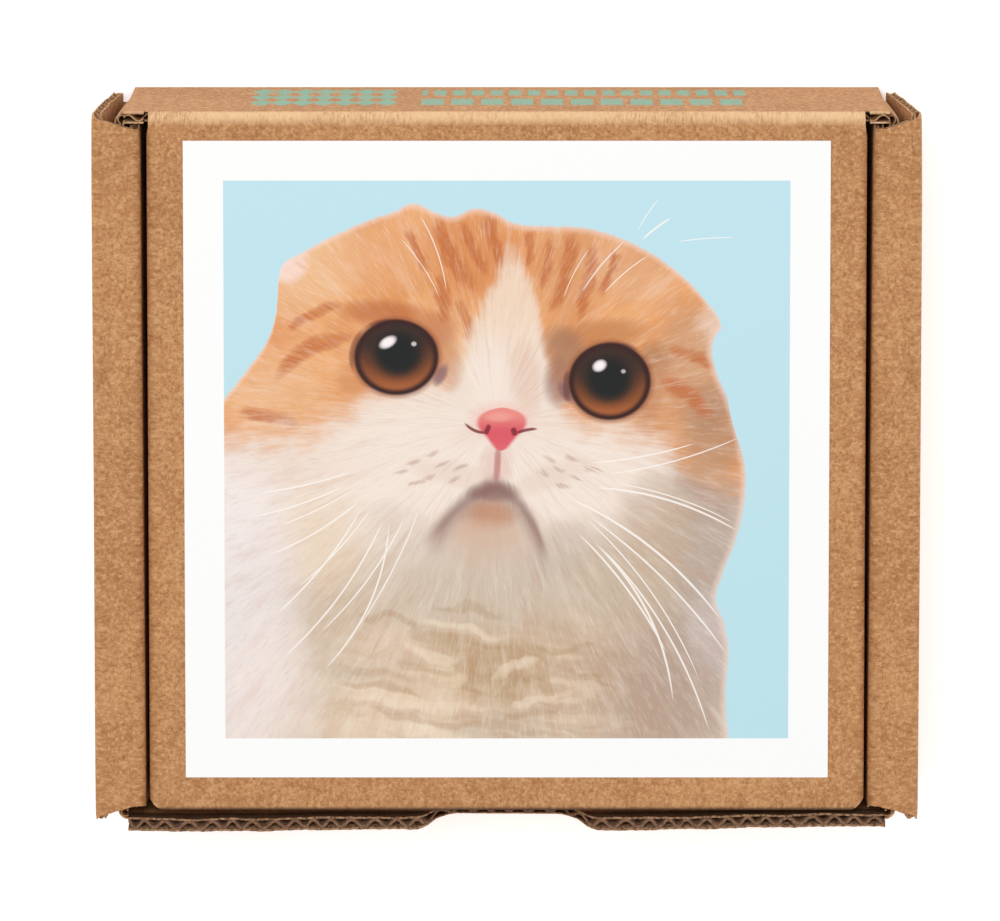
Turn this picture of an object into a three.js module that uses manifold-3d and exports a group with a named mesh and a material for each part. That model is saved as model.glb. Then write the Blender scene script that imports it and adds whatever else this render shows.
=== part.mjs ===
// A boxed jigsaw puzzle: a die-cut corrugated mailer with rolled side walls and a tuck-in lid,
// a picture label on the lid, and the loose interlocking pieces heaped inside.
// Millimetres. The origin is at the bottom centre; +X right, +Y towards the hinge, +Z up.
import * as THREE from 'three';
import { mergeVertices } from 'three/addons/utils/BufferGeometryUtils.js';
import Module from 'manifold-3d';

const wasm = await Module();
wasm.setup();

// Box.
const boxWidth = 135;
const boxDepth = 117;
const boxHeight = 28;
const board = 1.8;

// Rolled side walls: outer wall, gap, corner tab, gap, inner wall.
const outerTabGap = 1.8;
const innerTabGap = 1.0;
const rolledEndInset = 1.0;
const rolledEndSlant = 1.6;
const outerWallInset = 0.2;
const innerWallInset = 0.3;

// Lock tabs under the inner walls, and their slots in the bottom panel.
const lockTabLength = 20;
const lockTabSpacing = 60;
const lockTabSinkShort = 0.3;
const lockSlotClearance = 0.2;

// Corner tabs folded from the ends of the front and back walls.
const cornerTabLength = 52;
const cornerTabTaper = 6;
const cornerTabClearance = 0.3;

// Front and back walls.
const notchWidth = 30;
const notchFlat = 16;
const notchDepth = 6;

// Lid, its creases, its front flap and its side ears.
const lidSideGap = 0.8;
const lidFrontGap = 0.8;
const creaseRelief = 0.35;
const noseFlat = 0.1;
const lidCornerX = 2.4;
const lidCornerY = 1.4;
const flapHeight = 20;
const flapTilt = 6;
const flapEndInset = 1.2;
const flapCorner = 7;
const earHeight = 17;
const earTilt = 6;
const earFrontInset = 5;
const earBackInset = 10;
const earTaper = 9;

// Label stuck on the lid.
const labelSide = 105;
const labelThickness = 0.2;
const labelOffsetY = 1.5;

// Jigsaw pieces, and how they lie in the box.
const pieceCount = 6;
const pieceSide = 21;
const pieceThickness = 2.0;
const knobReach = 0.25;
const heapColumns = 3;
const heapRows = 3;
const cellSpacing = 35.5;
const cellJitter = 1.6;
const heapShiftY = 1.85;
const layerSpacing = 3.0;
const restGap = 0.2;
const lowTilt = 1.2;
const topTilt = 5;

const halfWidth = boxWidth / 2;
const halfDepth = boxDepth / 2;
const wallEndX = halfWidth - board - outerTabGap;
const tabInnerX = wallEndX - board;
const innerWallOuterX = tabInnerX - innerTabGap;
const innerWallInnerX = innerWallOuterX - board;
const rolledBottom = boxHeight - board;
const wallInsideY = halfDepth - board;
const lidHalfWidth = innerWallInnerX - lidSideGap;
const creaseRadius = board / 2;
const creaseZ = boxHeight - creaseRadius;
const hingeY = halfDepth - creaseRadius;
const lidFrontY = -(wallInsideY - lidFrontGap);
const flapAxisY = lidFrontY + creaseRadius;
const earAxisX = lidHalfWidth - creaseRadius;
const foldStart = creaseRadius + creaseRelief;

const kraft = { color: 0xbd8557, roughness: 0.92, metalness: 0 };
const kraftInside = { color: 0xb07b4f, roughness: 0.94, metalness: 0 };
const labelPaper = { color: 0xf4f3f0, roughness: 0.55, metalness: 0 };
const greyboard = { color: 0xd9c0a6, roughness: 0.6, metalness: 0 };

const model = new THREE.Group();
model.name = 'boxed_jigsaw_puzzle';

function addPart(name, geometry, look) {
  const mesh = new THREE.Mesh(geometry, new THREE.MeshStandardMaterial(look));
  mesh.name = name;
  model.add(mesh);
  return mesh;
}

function blockBetween(low, high) {
  const size = [0, 1, 2].map((axis) => high[axis] - low[axis]);
  const block = new THREE.BoxGeometry(...size);
  block.translate(...size.map((length, axis) => low[axis] + length / 2));
  return block;
}

function outline(points) {
  return new THREE.Shape(points.map(([u, v]) => new THREE.Vector2(u, v)));
}

// A sheet of board cut to a shape; across says which axis the sheet's thickness lies along.
function sheet(shape, thickness, across, from) {
  const geometry = new THREE.ExtrudeGeometry(shape, { depth: thickness, bevelEnabled: false });
  if (across === 'y') {
    geometry.rotateX(Math.PI / 2);
    geometry.translate(0, from + thickness, 0);
  } else if (across === 'x') {
    geometry.rotateX(Math.PI / 2);
    geometry.rotateZ(Math.PI / 2);
    geometry.translate(from, 0, 0);
  } else {
    geometry.translate(0, 0, from);
  }
  return geometry;
}

function toSolid(geometry) {
  const bare = geometry.clone();
  bare.deleteAttribute('normal');
  bare.deleteAttribute('uv');
  const welded = mergeVertices(bare, 1e-4);
  return new wasm.Manifold(new wasm.Mesh({
    numProp: 3,
    vertProperties: Float32Array.from(welded.attributes.position.array),
    triVerts: Uint32Array.from(welded.index.array),
  }));
}

function toGeometry(solid) {
  const mesh = solid.getMesh();
  const geometry = new THREE.BufferGeometry();
  geometry.setAttribute('position', new THREE.BufferAttribute(mesh.vertProperties, 3));
  geometry.setIndex(new THREE.BufferAttribute(mesh.triVerts, 1));
  geometry.computeVertexNormals();
  return geometry;
}

const sides = [
  { name: 'left', sign: -1 },
  { name: 'right', sign: 1 },
];

// The thickness range of a sheet that stands between two distances from the centre plane.
function fromCentre(sign, near, far) {
  return sign > 0 ? near : -far;
}

// Bottom panel, with a slot for each lock tab.
const lockTabCentres = [-lockTabSpacing / 2, lockTabSpacing / 2];
let bottomSolid = toSolid(blockBetween(
  [-(halfWidth - board), -wallInsideY, 0],
  [halfWidth - board, wallInsideY, board],
));
for (const side of sides) {
  for (const centre of lockTabCentres) {
    const near = innerWallInnerX - lockSlotClearance;
    const far = innerWallOuterX + lockSlotClearance;
    const reach = lockTabLength / 2 + lockSlotClearance;
    const from = fromCentre(side.sign, near, far);
    const slot = blockBetween(
      [from, centre - reach, -1],
      [from + far - near, centre + reach, board + 1],
    );
    bottomSolid = bottomSolid.subtract(toSolid(slot));
  }
}
addPart('bottom_panel', toGeometry(bottomSolid), kraftInside);

// Back wall: it stops below the lid's crease and stands a little higher beside it.
const creaseTopZ = creaseZ - foldStart;
const shoulderX = innerWallInnerX;
addPart('back_wall', sheet(outline([
  [-wallEndX, 0],
  [wallEndX, 0],
  [wallEndX, rolledBottom],
  [shoulderX, rolledBottom],
  [shoulderX, creaseTopZ],
  [-shoulderX, creaseTopZ],
  [-shoulderX, rolledBottom],
  [-wallEndX, rolledBottom],
]), board, 'y', wallInsideY), kraft);

// Front wall, with the thumb notch in its raw top edge.
const frontTopZ = rolledBottom;
const notchBottomZ = frontTopZ - notchDepth;
const frontShape = new THREE.Shape();
frontShape.moveTo(-wallEndX, 0);
frontShape.lineTo(wallEndX, 0);
frontShape.lineTo(wallEndX, frontTopZ);
frontShape.lineTo(notchWidth / 2, frontTopZ);
frontShape.bezierCurveTo(
  notchWidth / 2 - 4, frontTopZ,
  notchFlat / 2 + 3, notchBottomZ,
  notchFlat / 2, notchBottomZ,
);
frontShape.lineTo(-notchFlat / 2, notchBottomZ);
frontShape.bezierCurveTo(
  -notchFlat / 2 - 3, notchBottomZ,
  -notchWidth / 2 + 4, frontTopZ,
  -notchWidth / 2, frontTopZ,
);
frontShape.lineTo(-wallEndX, frontTopZ);
addPart('front_wall', sheet(frontShape, board, 'y', -halfDepth), kraft);

// Side walls: outer wall, slanted-end rolled top, and inner wall locked into the bottom.
const outerWallHalf = halfDepth - outerWallInset;
const innerWallHalf = wallInsideY - innerWallInset;
for (const { name, sign } of sides) {
  const outerFrom = fromCentre(sign, halfWidth - board, halfWidth);
  addPart(`${name}_outer_wall`, blockBetween(
    [outerFrom, -outerWallHalf, 0],
    [outerFrom + board, outerWallHalf, rolledBottom],
  ), kraft);

  const longHalf = halfDepth - rolledEndInset;
  const shortHalf = longHalf - rolledEndSlant;
  const rolledCorners = [
    [sign * innerWallInnerX, -shortHalf],
    [sign * halfWidth, -longHalf],
    [sign * halfWidth, longHalf],
    [sign * innerWallInnerX, shortHalf],
  ];
  addPart(`${name}_rolled_top`, sheet(outline(rolledCorners), board, 'z', rolledBottom), kraft);

  const innerPoints = [[-innerWallHalf, board]];
  for (const centre of lockTabCentres) {
    innerPoints.push([centre - lockTabLength / 2, board]);
    innerPoints.push([centre - lockTabLength / 2, lockTabSinkShort]);
    innerPoints.push([centre + lockTabLength / 2, lockTabSinkShort]);
    innerPoints.push([centre + lockTabLength / 2, board]);
  }
  innerPoints.push([innerWallHalf, board]);
  innerPoints.push([innerWallHalf, rolledBottom]);
  innerPoints.push([-innerWallHalf, rolledBottom]);
  const innerFrom = fromCentre(sign, innerWallInnerX, innerWallOuterX);
  addPart(`${name}_inner_wall`, sheet(outline(innerPoints), board, 'x', innerFrom), kraftInside);
}

// Corner tabs: the ends of the front and back walls, folded in between the side walls.
const tabBottomZ = board + cornerTabClearance;
const tabTopZ = rolledBottom - cornerTabClearance;
for (const { name, sign } of sides) {
  for (const end of [{ name: 'front', sign: -1 }, { name: 'back', sign: 1 }]) {
    const root = end.sign * wallInsideY;
    const tip = end.sign * (wallInsideY - cornerTabLength);
    const tabPoints = [
      [root, tabBottomZ],
      [tip, tabBottomZ + cornerTabTaper],
      [tip, tabTopZ - cornerTabTaper],
      [root, tabTopZ],
    ];
    const from = fromCentre(sign, tabInnerX, wallEndX);
    const tab = sheet(outline(tabPoints), board, 'x', from);
    addPart(`${end.name}_${name}_corner_tab`, tab, kraftInside);
  }
}

// Lid panel: a sheet whose edges are the rounded creases that the wall, flap and ears fold from.
const lidShape = outline([
  [-(earAxisX - lidCornerX), flapAxisY],
  [earAxisX - lidCornerX, flapAxisY],
  [earAxisX, flapAxisY + lidCornerY],
  [earAxisX, hingeY],
  [-earAxisX, hingeY],
  [-earAxisX, flapAxisY + lidCornerY],
]);
const noseThickness = (board - noseFlat) / 2;
const lidGeometry = new THREE.ExtrudeGeometry(lidShape, {
  depth: noseFlat,
  bevelEnabled: true,
  bevelThickness: noseThickness,
  bevelSize: creaseRadius,
  bevelOffset: 0,
  bevelSegments: 4,
});
lidGeometry.translate(0, 0, boxHeight - board + noseThickness);
addPart('lid_panel', lidGeometry, kraft);

// Picture label on the lid.
addPart('picture_label', blockBetween(
  [-labelSide / 2, labelOffsetY - labelSide / 2, boxHeight],
  [labelSide / 2, labelOffsetY + labelSide / 2, boxHeight + labelThickness],
), labelPaper);

// Tuck flap: hangs from the lid's front crease, leaning in so that it clears the front wall.
const flapHalf = earAxisX - flapEndInset;
const flap = addPart('tuck_flap', sheet(outline([
  [-flapHalf, -foldStart],
  [-flapHalf + flapCorner / 4, -flapHeight + flapCorner],
  [-flapHalf + flapCorner, -flapHeight],
  [flapHalf - flapCorner, -flapHeight],
  [flapHalf - flapCorner / 4, -flapHeight + flapCorner],
  [flapHalf, -foldStart],
]), board, 'y', -creaseRadius), kraftInside);
flap.position.set(0, flapAxisY, creaseZ);
flap.rotation.x = THREE.MathUtils.degToRad(flapTilt);

// Side ears: hang from the lid's side creases inside the inner walls.
const earFront = flapAxisY + earFrontInset;
const earBack = hingeY - earBackInset;
for (const { name, sign } of sides) {
  const ear = addPart(`${name}_lid_ear`, sheet(outline([
    [earFront, -foldStart],
    [earFront + earTaper / 3, -earHeight],
    [earBack - earTaper, -earHeight],
    [earBack, -foldStart],
  ]), board, 'x', -creaseRadius), kraftInside);
  ear.position.set(sign * earAxisX, 0, creaseZ);
  ear.rotation.y = sign * THREE.MathUtils.degToRad(earTilt);
}

// One side of a jigsaw piece, from one corner to the next: straight, knob or socket.
function addPieceSide(shape, corner, next, bulge) {
  const along = next.clone().sub(corner);
  const out = new THREE.Vector2(along.y, -along.x);
  const at = (t, d) => corner.clone().addScaledVector(along, t).addScaledVector(out, d * bulge);
  if (bulge === 0) {
    shape.lineTo(next.x, next.y);
    return;
  }
  const neck = at(0.43, 0.035);
  const neckEnd = at(0.57, 0.035);
  const lean = at(0.36, -0.02);
  const leanEnd = at(0.64, -0.02);
  const wide = at(0.385, 0.15);
  const wideEnd = at(0.615, 0.15);
  const crown = at(0.5, knobReach);
  const pulls = [at(0.41, 0.09), at(0.37, 0.22), at(0.43, knobReach)];
  const pullsBack = [at(0.57, knobReach), at(0.63, 0.22), at(0.59, 0.09)];
  shape.lineTo(lean.x, lean.y);
  shape.lineTo(neck.x, neck.y);
  shape.quadraticCurveTo(pulls[0].x, pulls[0].y, wide.x, wide.y);
  shape.bezierCurveTo(pulls[1].x, pulls[1].y, pulls[2].x, pulls[2].y, crown.x, crown.y);
  shape.bezierCurveTo(pullsBack[0].x, pullsBack[0].y, pullsBack[1].x, pullsBack[1].y,
    wideEnd.x, wideEnd.y);
  shape.quadraticCurveTo(pullsBack[2].x, pullsBack[2].y, neckEnd.x, neckEnd.y);
  shape.lineTo(leanEnd.x, leanEnd.y);
  shape.lineTo(next.x, next.y);
}

// Knobs and sockets alternate, and the puzzle's rim is straight.
function pieceShape(column, row) {
  const half = pieceSide / 2;
  const corners = [
    new THREE.Vector2(-half, -half),
    new THREE.Vector2(half, -half),
    new THREE.Vector2(half, half),
    new THREE.Vector2(-half, half),
  ];
  const turn = (column + row) % 2 === 0 ? 1 : -1;
  const rims = [row === 0, column === pieceCount - 1, row === pieceCount - 1, column === 0];
  const shape = new THREE.Shape();
  shape.moveTo(corners[0].x, corners[0].y);
  corners.forEach((corner, index) => {
    const bulge = rims[index] ? 0 : turn * (index % 2 === 0 ? 1 : -1);
    addPieceSide(shape, corner, corners[(index + 1) % 4], bulge);
  });
  return shape;
}

// The heap: layers of loose pieces, each turned, a little tilted, and some face down.
const pieceReach = pieceSide * (0.5 + knobReach);
const layerSize = heapColumns * heapRows;
const layerCount = Math.ceil((pieceCount * pieceCount) / layerSize);
const heapStride = 7;
for (let index = 0; index < pieceCount * pieceCount; index += 1) {
  const column = index % pieceCount;
  const row = Math.floor(index / pieceCount);
  const place = (index * heapStride + 3) % (pieceCount * pieceCount);
  const layer = Math.floor(place / layerSize);
  const cell = place % layerSize;
  const isTop = layer === layerCount - 1;
  const fullTilt = isTop ? topTilt : lowTilt;
  const tilt = layer === 0 ? 0 : THREE.MathUtils.degToRad(fullTilt);
  const topLift = isTop ? pieceReach * Math.sin(tilt) : 0;

  const geometry = new THREE.ExtrudeGeometry(pieceShape(column, row), {
    depth: pieceThickness,
    bevelEnabled: false,
    curveSegments: 3,
  });
  geometry.translate(0, 0, -pieceThickness / 2);
  const name = `puzzle_piece_${String(index + 1).padStart(2, '0')}`;
  const piece = addPart(name, geometry, greyboard);
  piece.position.set(
    (cell % heapColumns - (heapColumns - 1) / 2) * cellSpacing + cellJitter * Math.sin(2.4 * index),
    (Math.floor(cell / heapColumns) - (heapRows - 1) / 2) * cellSpacing
      + cellJitter * Math.cos(1.7 * index) + heapShiftY,
    board + restGap + pieceThickness / 2 + layer * layerSpacing + topLift,
  );
  const lean = 1.3 * index;
  const leanAxis = new THREE.Vector3(Math.cos(lean), Math.sin(lean), 0);
  const leaning = new THREE.Quaternion().setFromAxisAngle(leanAxis, tilt);
  const upAxis = new THREE.Vector3(0, 0, 1);
  const spin = new THREE.Quaternion().setFromAxisAngle(upAxis, 2.399963 * index);
  const flipAxis = new THREE.Vector3(1, 0, 0);
  const flipAngle = index % 5 === 2 ? Math.PI : 0;
  const flip = new THREE.Quaternion().setFromAxisAngle(flipAxis, flipAngle);
  piece.quaternion.copy(leaning).multiply(spin).multiply(flip);
}

export default model;
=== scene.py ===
import math
import bmesh
import bpy
import numpy as np
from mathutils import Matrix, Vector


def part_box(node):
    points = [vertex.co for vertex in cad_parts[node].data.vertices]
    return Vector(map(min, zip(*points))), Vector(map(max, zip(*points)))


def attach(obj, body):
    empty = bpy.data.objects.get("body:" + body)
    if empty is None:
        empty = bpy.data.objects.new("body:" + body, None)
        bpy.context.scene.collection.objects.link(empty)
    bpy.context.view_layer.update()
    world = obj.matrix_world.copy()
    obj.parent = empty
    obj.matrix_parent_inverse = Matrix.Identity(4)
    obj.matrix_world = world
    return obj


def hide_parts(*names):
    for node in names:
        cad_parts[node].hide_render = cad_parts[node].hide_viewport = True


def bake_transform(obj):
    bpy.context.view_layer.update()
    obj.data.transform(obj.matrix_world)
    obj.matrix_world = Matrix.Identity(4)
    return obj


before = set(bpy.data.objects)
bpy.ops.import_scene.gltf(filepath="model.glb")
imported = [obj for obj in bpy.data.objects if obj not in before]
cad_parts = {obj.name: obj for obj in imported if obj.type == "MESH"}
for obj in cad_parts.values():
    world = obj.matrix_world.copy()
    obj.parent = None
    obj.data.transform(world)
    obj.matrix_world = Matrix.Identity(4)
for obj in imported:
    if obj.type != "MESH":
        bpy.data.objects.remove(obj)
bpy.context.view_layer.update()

mm = 0.001
board = 1.8  # thickness of the corrugated board
flute = 3.4  # length of one wave
halfBoard = board / 2


def tint(red, green, blue):
    # a screen colour from 0 to 255, as the linear colour a shader wants
    shares = [c / 255 for c in (red, green, blue)]
    return tuple(c / 12.92 if c < 0.04045 else ((c + 0.055) / 1.055) ** 2.4 for c in shares)


# shader maths

class Value:
    # a node's output socket that takes part in sums
    def __init__(self, maker, socket):
        self.maker = maker
        self.socket = socket

    def sum(self, operation, *others):
        values = {place: other for place, other in enumerate(others)}
        return self.maker.node("ShaderNodeMath", {"operation": operation}, values)

    def __add__(self, other):
        return self.sum("ADD", self, other)

    def __radd__(self, other):
        return self.sum("ADD", other, self)

    def __sub__(self, other):
        return self.sum("SUBTRACT", self, other)

    def __rsub__(self, other):
        return self.sum("SUBTRACT", other, self)

    def __mul__(self, other):
        return self.sum("MULTIPLY", self, other)

    def __truediv__(self, other):
        return self.sum("DIVIDE", self, other)

    def __pow__(self, other):
        return self.sum("POWER", self, other)

    def __abs__(self):
        return self.sum("ABSOLUTE", self)

    def most(self, other):
        return self.sum("MAXIMUM", self, other)

    def least(self, other):
        return self.sum("MINIMUM", self, other)

    def wave(self):
        return self.sum("SINE", self)

    def part(self):
        return self.sum("FRACT", self)


class Maker:
    # adds nodes to one material
    def __init__(self, name):
        self.material = bpy.data.materials.new(name)
        self.material.use_nodes = True
        self.tree = self.material.node_tree
        self.tree.nodes.clear()

    def node(self, kind, settings=None, sockets=None, out=0):
        made = self.tree.nodes.new(kind)
        for name, setting in (settings or {}).items():
            if name == "curve":
                line = made.mapping.curves[0]
                for place, (across, up) in enumerate(setting):
                    if place < 2:
                        line.points[place].location = (across, up)
                    else:
                        line.points.new(across, up)
                made.mapping.update()
            else:
                setattr(made, name, setting)
        for key, given in (sockets or {}).items():
            if isinstance(given, Value):
                self.tree.links.new(given.socket, made.inputs[key])
            else:
                made.inputs[key].default_value = given
        return Value(self, made.outputs[out])

    def attribute(self, name):
        return self.node("ShaderNodeAttribute", {"attribute_name": name}, out=1)

    def apart(self, vector):
        split = self.node("ShaderNodeSeparateXYZ", {}, {0: vector})
        outputs = split.socket.node.outputs
        return [Value(self, outputs[place]) for place in range(3)]

    def together(self, x, y, z=0.0):
        return self.node("ShaderNodeCombineXYZ", {}, {0: x, 1: y, 2: z})

    def dot(self, vector, across, up, shift):
        return self.node("ShaderNodeVectorMath", {"operation": "DOT_PRODUCT"},
                         {0: vector, 1: (across, up, shift)}, out=1)

    def noise(self, vector, scale, detail=2.0, roughness=0.5):
        return self.node("ShaderNodeTexNoise", {"noise_dimensions": "3D"},
                         {"Vector": vector, "Scale": scale, "Detail": detail,
                          "Roughness": roughness})

    def step(self, value, low, high):
        # 0 before low and 1 after high, with a soft rise between
        return self.node("ShaderNodeMapRange", {"interpolation_type": "SMOOTHSTEP"},
                         {0: value, 1: low, 2: high, 3: 0.0, 4: 1.0})

    def mix(self, mask, under, over):
        under, over = [c if isinstance(c, Value) else (*c, 1.0) for c in (under, over)]
        return self.node("ShaderNodeMix", {"data_type": "RGBA"}, {0: mask, 6: under, 7: over}, out=2)

    def cover(self, colour, layers):
        # lays each tint over colour as its value goes from low to high
        for value, low, high, strength, over in layers:
            colour = self.mix(self.step(value, low, high) * strength, colour, tint(*over))
        return colour

    def curve(self, value, points):
        # a line drawn through the given points, all from 0 to 100
        share = self.node("ShaderNodeFloatCurve",
                          {"curve": [(across / 100, up / 100) for across, up in points]},
                          {1: value / 100})
        return share * 100

    def bump(self, height, strength, distance):
        return self.node("ShaderNodeBump", {},
                         {"Height": height, "Strength": strength, "Distance": distance})

    def finish(self, sockets):
        surface = self.node("ShaderNodeBsdfPrincipled", {}, sockets)
        output = self.tree.nodes.new("ShaderNodeOutputMaterial")
        self.tree.links.new(surface.socket, output.inputs[0])
        return self.material


# the picture: a round-faced folded-ear cat on a pale blue ground;
# places are in percent of the picture's side, from its lower left corner

def stroke(maker, place, start, end, width, bend=0.0, soft=0.45):
    # one brush stroke from start to end, bowed sideways by bend at its middle
    half = math.dist(start, end) / 2
    middle = [(a + b) / 2 for a, b in zip(start, end)]
    along = [(b - a) / (2 * half) for a, b in zip(start, end)]
    side = (-along[1], along[0])
    run = maker.dot(place, along[0] / half, along[1] / half,
                    -(middle[0] * along[0] + middle[1] * along[1]) / half)
    off = maker.dot(place, side[0] / width, side[1] / width,
                    -(middle[0] * side[0] + middle[1] * side[1] + bend) / width)
    runSquare = run * run
    bowed = off + runSquare * (bend / width) if bend else off
    return maker.step(bowed * bowed + runSquare * runSquare, 1.0, soft)


def strokes(maker, place, many, soft=0.45):
    marks = None
    for one in many:
        mark = stroke(maker, place, *one, soft=soft)
        marks = mark if marks is None else marks.most(mark)
    return marks


def spot(maker, place, centre, size, lean=0.0, inner=0.6, outer=1.0):
    # a soft-edged oval, turned by lean degrees
    turn = math.radians(lean)
    cos, sin = math.cos(turn), math.sin(turn)
    across = maker.dot(place, cos / size[0], sin / size[0],
                       -(centre[0] * cos + centre[1] * sin) / size[0])
    up = maker.dot(place, -sin / size[1], cos / size[1],
                   (centre[0] * sin - centre[1] * cos) / size[1])
    reach = across * across + up * up
    return maker.step(reach, outer * outer, inner * inner)


def washes(maker, picture, place, many):
    # soft patches of colour: centre, size, lean, strength, colour
    for centre, size, lean, strength, colour in many:
        patch = spot(maker, place, centre, size, lean, 0.0, 1.25)
        picture = maker.mix(patch * strength, picture, tint(*colour))
    return picture


def paintEye(maker, picture, place, eye, streaks):
    centre, size = eye["centre"], eye["size"]
    picture = washes(maker, picture, place, eye["shade"])
    socket = spot(maker, place, centre, (size[0] * 1.17, size[1] * 1.17), 0, 0.86, 1.0)
    picture = maker.mix(socket * 0.6, picture, tint(150, 78, 46))
    corner = spot(maker, place, eye["corner"], (2.5, 1.2), eye["cornerLean"], 0.3, 1.1)
    picture = maker.mix(corner * 0.85, picture, tint(142, 100, 104))
    for line, strength, colour in eye["lids"]:
        picture = maker.mix(stroke(maker, place, *line) * strength, picture, tint(*colour))
    rim = spot(maker, place, centre, (size[0] * 1.05, size[1] * 1.05), 0, 0.92, 1.0)
    picture = maker.mix(rim, picture, tint(52, 16, 12))
    ball = spot(maker, place, centre, (size[0] * 0.94, size[1] * 0.94), 0, 0.84, 1.0)
    up = maker.dot(place, 0.0, 1 / size[1], -centre[1] / size[1])
    across = maker.dot(place, 1 / size[0], 0.0, -centre[0] / size[0])
    glow = maker.step(up + across * -0.1 + streaks * 0.3, 0.5, -0.75)
    iris = maker.mix(glow, tint(58, 32, 24), tint(154, 84, 38))
    low = maker.step(up + streaks * 0.2, -0.45, -0.9)
    iris = maker.mix(low * 0.45, iris, tint(190, 104, 62))
    picture = maker.mix(ball, picture, iris)
    haze = spot(maker, place, eye["pupil"], (6.3, 5.7), 0, 0.3, 1.05)
    picture = maker.mix(haze * ball * 0.9, picture, tint(40, 26, 16))
    pupil = spot(maker, place, eye["pupil"], (4.6, 4.5), 0, 0.5, 1.05)
    picture = maker.mix(pupil, picture, tint(9, 15, 16))
    for middle, spread, lean, strength in eye["lights"]:
        shine = spot(maker, place, middle, spread, lean, 0.35, 1.2)
        picture = maker.mix(shine * strength, picture, tint(255, 244, 244))
    return picture


catEyes = [
    {
        "centre": (30.5, 68.5), "size": (7.4, 6.7), "pupil": (30.8, 69.2),
        "corner": (38.3, 65.3), "cornerLean": 62,
        "shade": [
            ((28.5, 76.4), (8.0, 2.4), -4, 0.7, (188, 100, 48)),
            ((37.6, 73.5), (3.6, 3.2), 0, 0.6, (190, 108, 62)),
            ((39.5, 68.0), (2.6, 5.5), 10, 0.5, (198, 140, 104)),
            ((22.6, 64.6), (3.0, 3.4), -30, 0.4, (206, 134, 84)),
        ],
        "lids": [
            (((24.6, 73.9), (38.2, 69.8), 1.0, 2.5, 0.0), 0.85, (104, 38, 30)),
            (((22.8, 66.0), (24.6, 73.6), 0.7, 0.9, 0.0), 0.6, (128, 62, 44)),
        ],
        "lights": [
            ((29.0, 71.2), (1.65, 0.95), 30, 1.0),
            ((33.6, 70.9), (0.5, 0.45), 0, 0.6),
        ],
    },
    {
        "centre": (68.2, 64.2), "size": (7.2, 6.85), "pupil": (68.0, 64.6),
        "corner": (60.4, 62.2), "cornerLean": -58,
        "shade": [
            ((67.0, 72.6), (8.5, 2.8), 6, 0.65, (190, 116, 66)),
            ((60.2, 70.0), (3.6, 4.6), 30, 0.8, (166, 118, 90)),
            ((59.0, 64.0), (2.6, 4.4), 0, 0.7, (150, 108, 96)),
            ((75.6, 61.0), (1.8, 5.0), -20, 0.4, (186, 126, 88)),
        ],
        "lids": [
            (((60.9, 65.6), (73.8, 69.6), 1.1, 2.6, 0.0), 0.85, (96, 42, 38)),
            (((60.9, 60.4), (60.9, 66.4), 0.8, 0.4, 0.0), 0.7, (104, 56, 52)),
        ],
        "lights": [
            ((66.4, 67.0), (1.3, 1.0), 30, 1.0),
            ((70.6, 66.0), (0.45, 0.4), 0, 0.5),
        ],
    },
]

catLines = {
    "headTop": [(0, 61), (4.8, 67.2), (7.7, 71.5), (9.4, 77), (9.9, 83.6), (10.8, 85.4),
                (13.5, 87.0), (19.5, 90.2), (26.3, 93.2), (30.5, 94.6), (33.5, 96.0), (36.8, 94.6),
                (40.8, 93.6), (44.0, 95.0), (48.0, 94.2), (51.1, 92.5), (57.2, 91.9), (62.0, 91.8),
                (65.7, 91.2), (72.5, 88.7), (79.2, 84.5), (85.3, 78.4), (87.6, 75.0), (89.2, 60), (92, 50),
                (100, 20)],
    "rightEdge": [(0, 89.4), (8.5, 88.9), (16, 89.4), (21, 88.5), (25, 87.1), (30, 88.4), (36.7, 90.9),
                  (46.4, 92.3), (56, 90.7), (61, 89.1), (66, 87.0), (70, 86.3), (72.5, 87.0), (74.5, 88.4),
                  (77, 87.8), (80, 90.0), (100, 88.3)],
    "orangeLow": [(0, 53.3), (6.3, 53.6), (14.7, 54.4), (20.2, 57.4), (26.4, 61.8), (35.1, 64.0),
                  (40.2, 65.3), (44.6, 73.3), (48.6, 81.5), (50.8, 84.6), (53.4, 81.5), (55.2, 77.0),
                  (56.6, 70.0), (59.3, 61.4), (62.9, 57.0), (69.1, 55.7), (75.1, 54.0), (78.8, 51.3),
                  (84.3, 47.3), (92, 44.5), (100, 44.0)],
    "noseHalf": [(0, -2), (51.0, -2), (52.0, 0.9), (53.2, 2.0), (54.4, 2.9), (55.3, 3.8), (56.3, 4.4),
                 (57.5, 4.4), (58.3, 3.8), (59.0, 2.6), (59.5, 0.6), (60.0, -2), (100, -2)],
    "mouthTop": [(0, 20), (34.5, 35.4), (36.5, 37.6), (37.9, 39.1), (40.0, 41.4), (42.3, 43.5), (45, 45.2),
                 (47.9, 46.4), (50, 45.5), (52.3, 43.5), (54, 41.0), (55.1, 39.1), (56.2, 36.4),
                 (57.6, 33.4), (60, 28), (100, 20)],
}

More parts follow.
